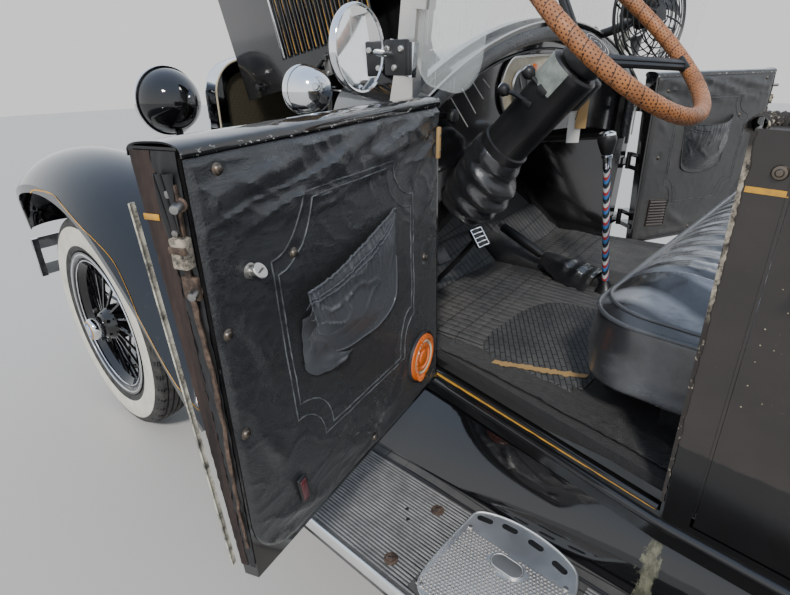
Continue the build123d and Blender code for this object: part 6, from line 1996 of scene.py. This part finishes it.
def makeLamps():
    for side, word in ((1, "left"), (-1, "right")):
        bm = bmesh.new()
        addRimmedGlass(bm, Vector((1.536, side * 0.333, 1.036)), (1, 0, 0), 0.1155, 0.01, 0, 1, 13)
        newPiece("headlamp_%s_rim" % word, bm, "car", "chrome", "lens", "chrome", replaced=("headlamp_lenses",))
        # round chrome cowl lamp on a curved stalk
        bm = bmesh.new()
        centre = Vector((0.52, side * 0.535, 1.117))
        addLathe(bm, [(0, -0.066), (0.012, -0.065), (0.028, -0.057), (0.04, -0.042), (0.046, -0.022), (0.047, 0)],
                 centre, (1, 0, 0), 56, 1)
        addRimmedGlass(bm, centre + Vector((0.002, 0, 0)), (1, 0, 0), 0.0485, 0.006, 0, 1, 7)
        addTube(bm, [centre + Vector((-0.02, 0, -0.04)), (0.5, side * 0.5, 1.055), (0.5, side * 0.43, 1.05),
                     (0.5, side * 0.392, 1.046)], 0.0075, sides=3, finish=1)
        newPiece("cowl_lamp_%s_round" % word, bm, "car", "chrome", "lens", "chrome", replaced=("cowl_lamps",))
        # tail lamp on its bracket
        bm = bmesh.new()
        centre = Vector((-1.7, side * 0.6, 0.64))
        addLathe(bm, [(0, 0.05), (0.022, 0.048), (0.036, 0.036), (0.04, 0), (0.043, -0.004), (0.04, -0.01)], centre,
                 (1, 0, 0), 40, 1)
        addLathe(bm, [(0, -0.016), (0.024, -0.013), (0.037, -0.006)], centre, (1, 0, 0), 40)
        addTube(bm, [centre + Vector((0.03, 0, -0.03)), centre + Vector((0.04, -side * 0.02, -0.1)),
                     (-1.64, side * 0.5, 0.5)], 0.009, sides=3, finish=2)
        newPiece("tail_lamp_" + word, bm, "car", "chrome", "red", "chrome", "satin")
    # beads round the radiator shell
    bm = bmesh.new()

    def arch(x, grow):
        half, crownZ, crownR, cornerR = 0.25 + grow, 1.184 + grow, 0.6 + grow, 0.11 + grow
        rise = sqrt((crownR - cornerR) ** 2 - (half - cornerR) ** 2)
        lean = atan2(half - cornerR, rise)
        points = [Vector((x, half, 0.62)), Vector((x, half, 0.85))]
        points += [Vector((x, half - cornerR + cornerR * sin(t), crownZ - crownR + rise + cornerR * cos(t)))
                   for t in (pi / 2 - (pi / 2 - lean) * k / 10 for k in range(11))]
        points += [Vector((x, crownR * sin(t), crownZ - crownR + crownR * cos(t)))
                   for t in (lean * (1 - k / 8) for k in range(8))]
        return points + [Vector((p.x, -p.y, p.z)) for p in reversed(points)]

    addRail(bm, arch(1.3405, 0.0005), 0.0034)
    addRail(bm, arch(1.412, -0.003), 0.0045, finish=1)
    newPiece("radiator_beads", bm, "car", "panel_cream", "cream", "chrome")
    bm = bmesh.new()
    # louvred shutters in front of the core
    for k in range(27):
        y = -0.2 + 0.4 * k / 26
        top = 1.14 - 0.5 * (abs(y) / 0.2) ** 4 * 0.05
        addBox(bm, Matrix.Translation((1.3905, y, (0.652 + top) / 2)) @ Matrix.Rotation(0.5, 4, "Z"),
               (0.014, 0.0018, top - 0.652), 0.0005, 1)
    newPiece("radiator_shutters", bm, "car", "chassis_black", "satin")


def makeMirror():
    centre, look = Vector((0.3, 0.596, 1.19)), Vector((-0.988, -0.155, 0.03)).normalized()
    tree = surfaceOf("side_mirror")
    hit = tree.ray_cast(centre + look * 0.2 + Vector((0, 0, 0.02)), -look)[0]
    face = centre + look * ((hit - centre).dot(look) if hit else 0.01)
    bm = bmesh.new()
    addLathe(bm, [(0, 0.0012), (0.063, 0.0012)], face, look, 72)
    addLathe(bm, [(0.0625, 0.001), (0.0635, 0.0034), (0.0665, 0.004), (0.0688, 0.001), (0.069, -0.006),
                  (0.067, -0.01)], face, look, 72, 1)
    newPiece("side_mirror_glass", bm, "car", "chrome", "mirror", "chrome")
    bm = bmesh.new()
    addBox(bm, (0.284, 0.5115, 1.176), (0.05, 0.013, 0.058), 0.003)
    for x, z in ((0.268, 1.19), (0.3, 1.19), (0.284, 1.16)):
        addLathe(bm, [(0, 0.005), (0.0042, 0.0045), (0.0055, 0.003), (0.0058, 0)], (x, 0.5178, z), (0, 1, 0), 20, 1)
        addLathe(bm, [(0.0022, 0.0052), (0.002, 0.004), (0, 0.0038)], (x, 0.5178, z), (0, 1, 0), 6)
    newPiece("side_mirror_clamp", bm, "car", "chassis_black", "plastic", "nickel")


def makeFan():
    centre, look = Vector((0.11, -0.2, 1.255)), Vector((-0.9, 0.3, 0.1)).normalized()
    side = look.cross(Vector((0, 0, 1))).normalized()
    high = side.cross(look)
    bm = bmesh.new()

    def spot(radius, turn, out):
        return centre + (side * cos(turn) + high * sin(turn)) * radius * 1.16 + look * out

    for front in (1, -1):
        for radius in (0.022, 0.036, 0.05, 0.063, 0.075, 0.087, 0.0975):
            out = front * (0.03 - 0.02 * (radius / 0.1) ** 3)
            addRing(bm, [spot(radius, 2 * pi * k / 64, out) for k in range(64)],
                    0.0015 if radius < 0.09 else 0.0032, sides=1)
        for k in range(8):
            turn = 2 * pi * (k + 0.3) / 8
            addTube(bm, [spot(0.018, turn, front * 0.03), spot(0.06, turn, front * 0.0265),
                         spot(0.098, turn, front * 0.01)], 0.0021, sides=1)
    addLathe(bm, [(0, 0.031), (0.018, 0.03), (0.021, 0.026), (0.021, 0.018)], centre, look, 32)
    addLathe(bm, [(0, -0.03), (0.026, -0.028), (0.028, -0.004), (0.012, 0.004), (0.01, 0.014), (0, 0.015)],
             centre, look, 32)
    for k in range(5):

        def blade(u, v, first=2 * pi * k / 5):
            turn = first + 0.75 * (u - 0.5) * (0.5 + 0.5 * v) + 0.35 * v
            return spot(0.014 + 0.07 * v, turn, 0.004 + 0.012 * (u - 0.5) * 2)

        addGrid(bm, 10, 10, blade, 1, thick=0.0012)
    addTube(bm, [centre - look * 0.024, (0.19, -0.226, 1.232), (0.252, -0.23, 1.214)], 0.011, sides=3)
    addLathe(bm, [(0, 0), (0.026, 0), (0.024, 0.008), (0.012, 0.012)], (0.254, -0.23, 1.212), (-1, 0, 0.3), 28)
    newPiece("cabin_fan_cage", bm, "car", "chassis_black", "plastic", "satin", replaced=("cabin_fan",))


def makeHubs():
    for corner, (x, side) in wheelSpots.items():
        bm = bmesh.new()
        centre = Vector((x, side * 0.8095, wheelFacts["radius"]))
        outward = (0, side, 0)
        addLathe(bm, [(0.036, -0.03), (0.037, -0.006), (0.034, 0), (0.031, 0.002)], centre, outward, 40)
        addLathe(bm, [(0.031, 0.002), (0.03, 0.0045), (0.0275, 0.0045), (0.027, 0.003)], centre, outward, 40, 2)
        addLathe(bm, [(0.027, 0.003), (0.0262, 0.0052), (0.0205, 0.0056), (0.02, 0.004)], centre, outward, 40, 1)
        addLathe(bm, [(0.02, 0.004), (0.018, 0.0065), (0.012, 0.0078), (0, 0.0084)], centre, outward, 40)
        for k in range(5):
            turn = 2 * pi * k / 5
            spot = centre + Vector((cos(turn), 0, sin(turn))) * 0.056 - Vector((0, side * 0.04, 0))
            addLathe(bm, [(0, 0.012), (0.006, 0.011), (0.0085, 0)], spot, outward, 6, 3)
        newPiece("hub_cap_" + corner, bm, "wheel_" + corner, "chrome", "chrome", "blue", "gold", "satin")


def makePlates():
    bm = bmesh.new()
    for x, z in ((2.0705, 0.445), (-2.066, 0.445)):
        addBox(bm, (x + (0.01 if x > 0 else -0.01), 0, z), (0.003, 0.3, 0.11), 0.001, 1)
        for y in (-0.12, 0.12):
            addLathe(bm, studOutline, (x + (0.0115 if x > 0 else -0.0115), y, z + 0.04),
                     (1 if x > 0 else -1, 0, 0), 16, 1)
    newPiece("blank_plates", bm, "car", "panel_cream", "tag", "nickel")
    bm = bmesh.new()
    for front, x in ((1, 2.06), (-1, -2.06)):
        for y in (-0.36, 0.36):
            addBox(bm, (x - front * 0.02, y, 0.445), (0.012, 0.04, 0.165), 0.004)
            for z in (0.39, 0.5):
                addLathe(bm, [(0, 0.01), (0.009, 0.008), (0.012, 0)], (x - front * 0.004, y, z), (front, 0, 0), 20)
    newPiece("bumper_clamps", bm, "car", "chrome", "chrome")


makeHoodTrim()
makeLamps()
makeMirror()
makeFan()
makeHubs()
makePlates()
print("hood, lamps, mirror, fan and hubs made")
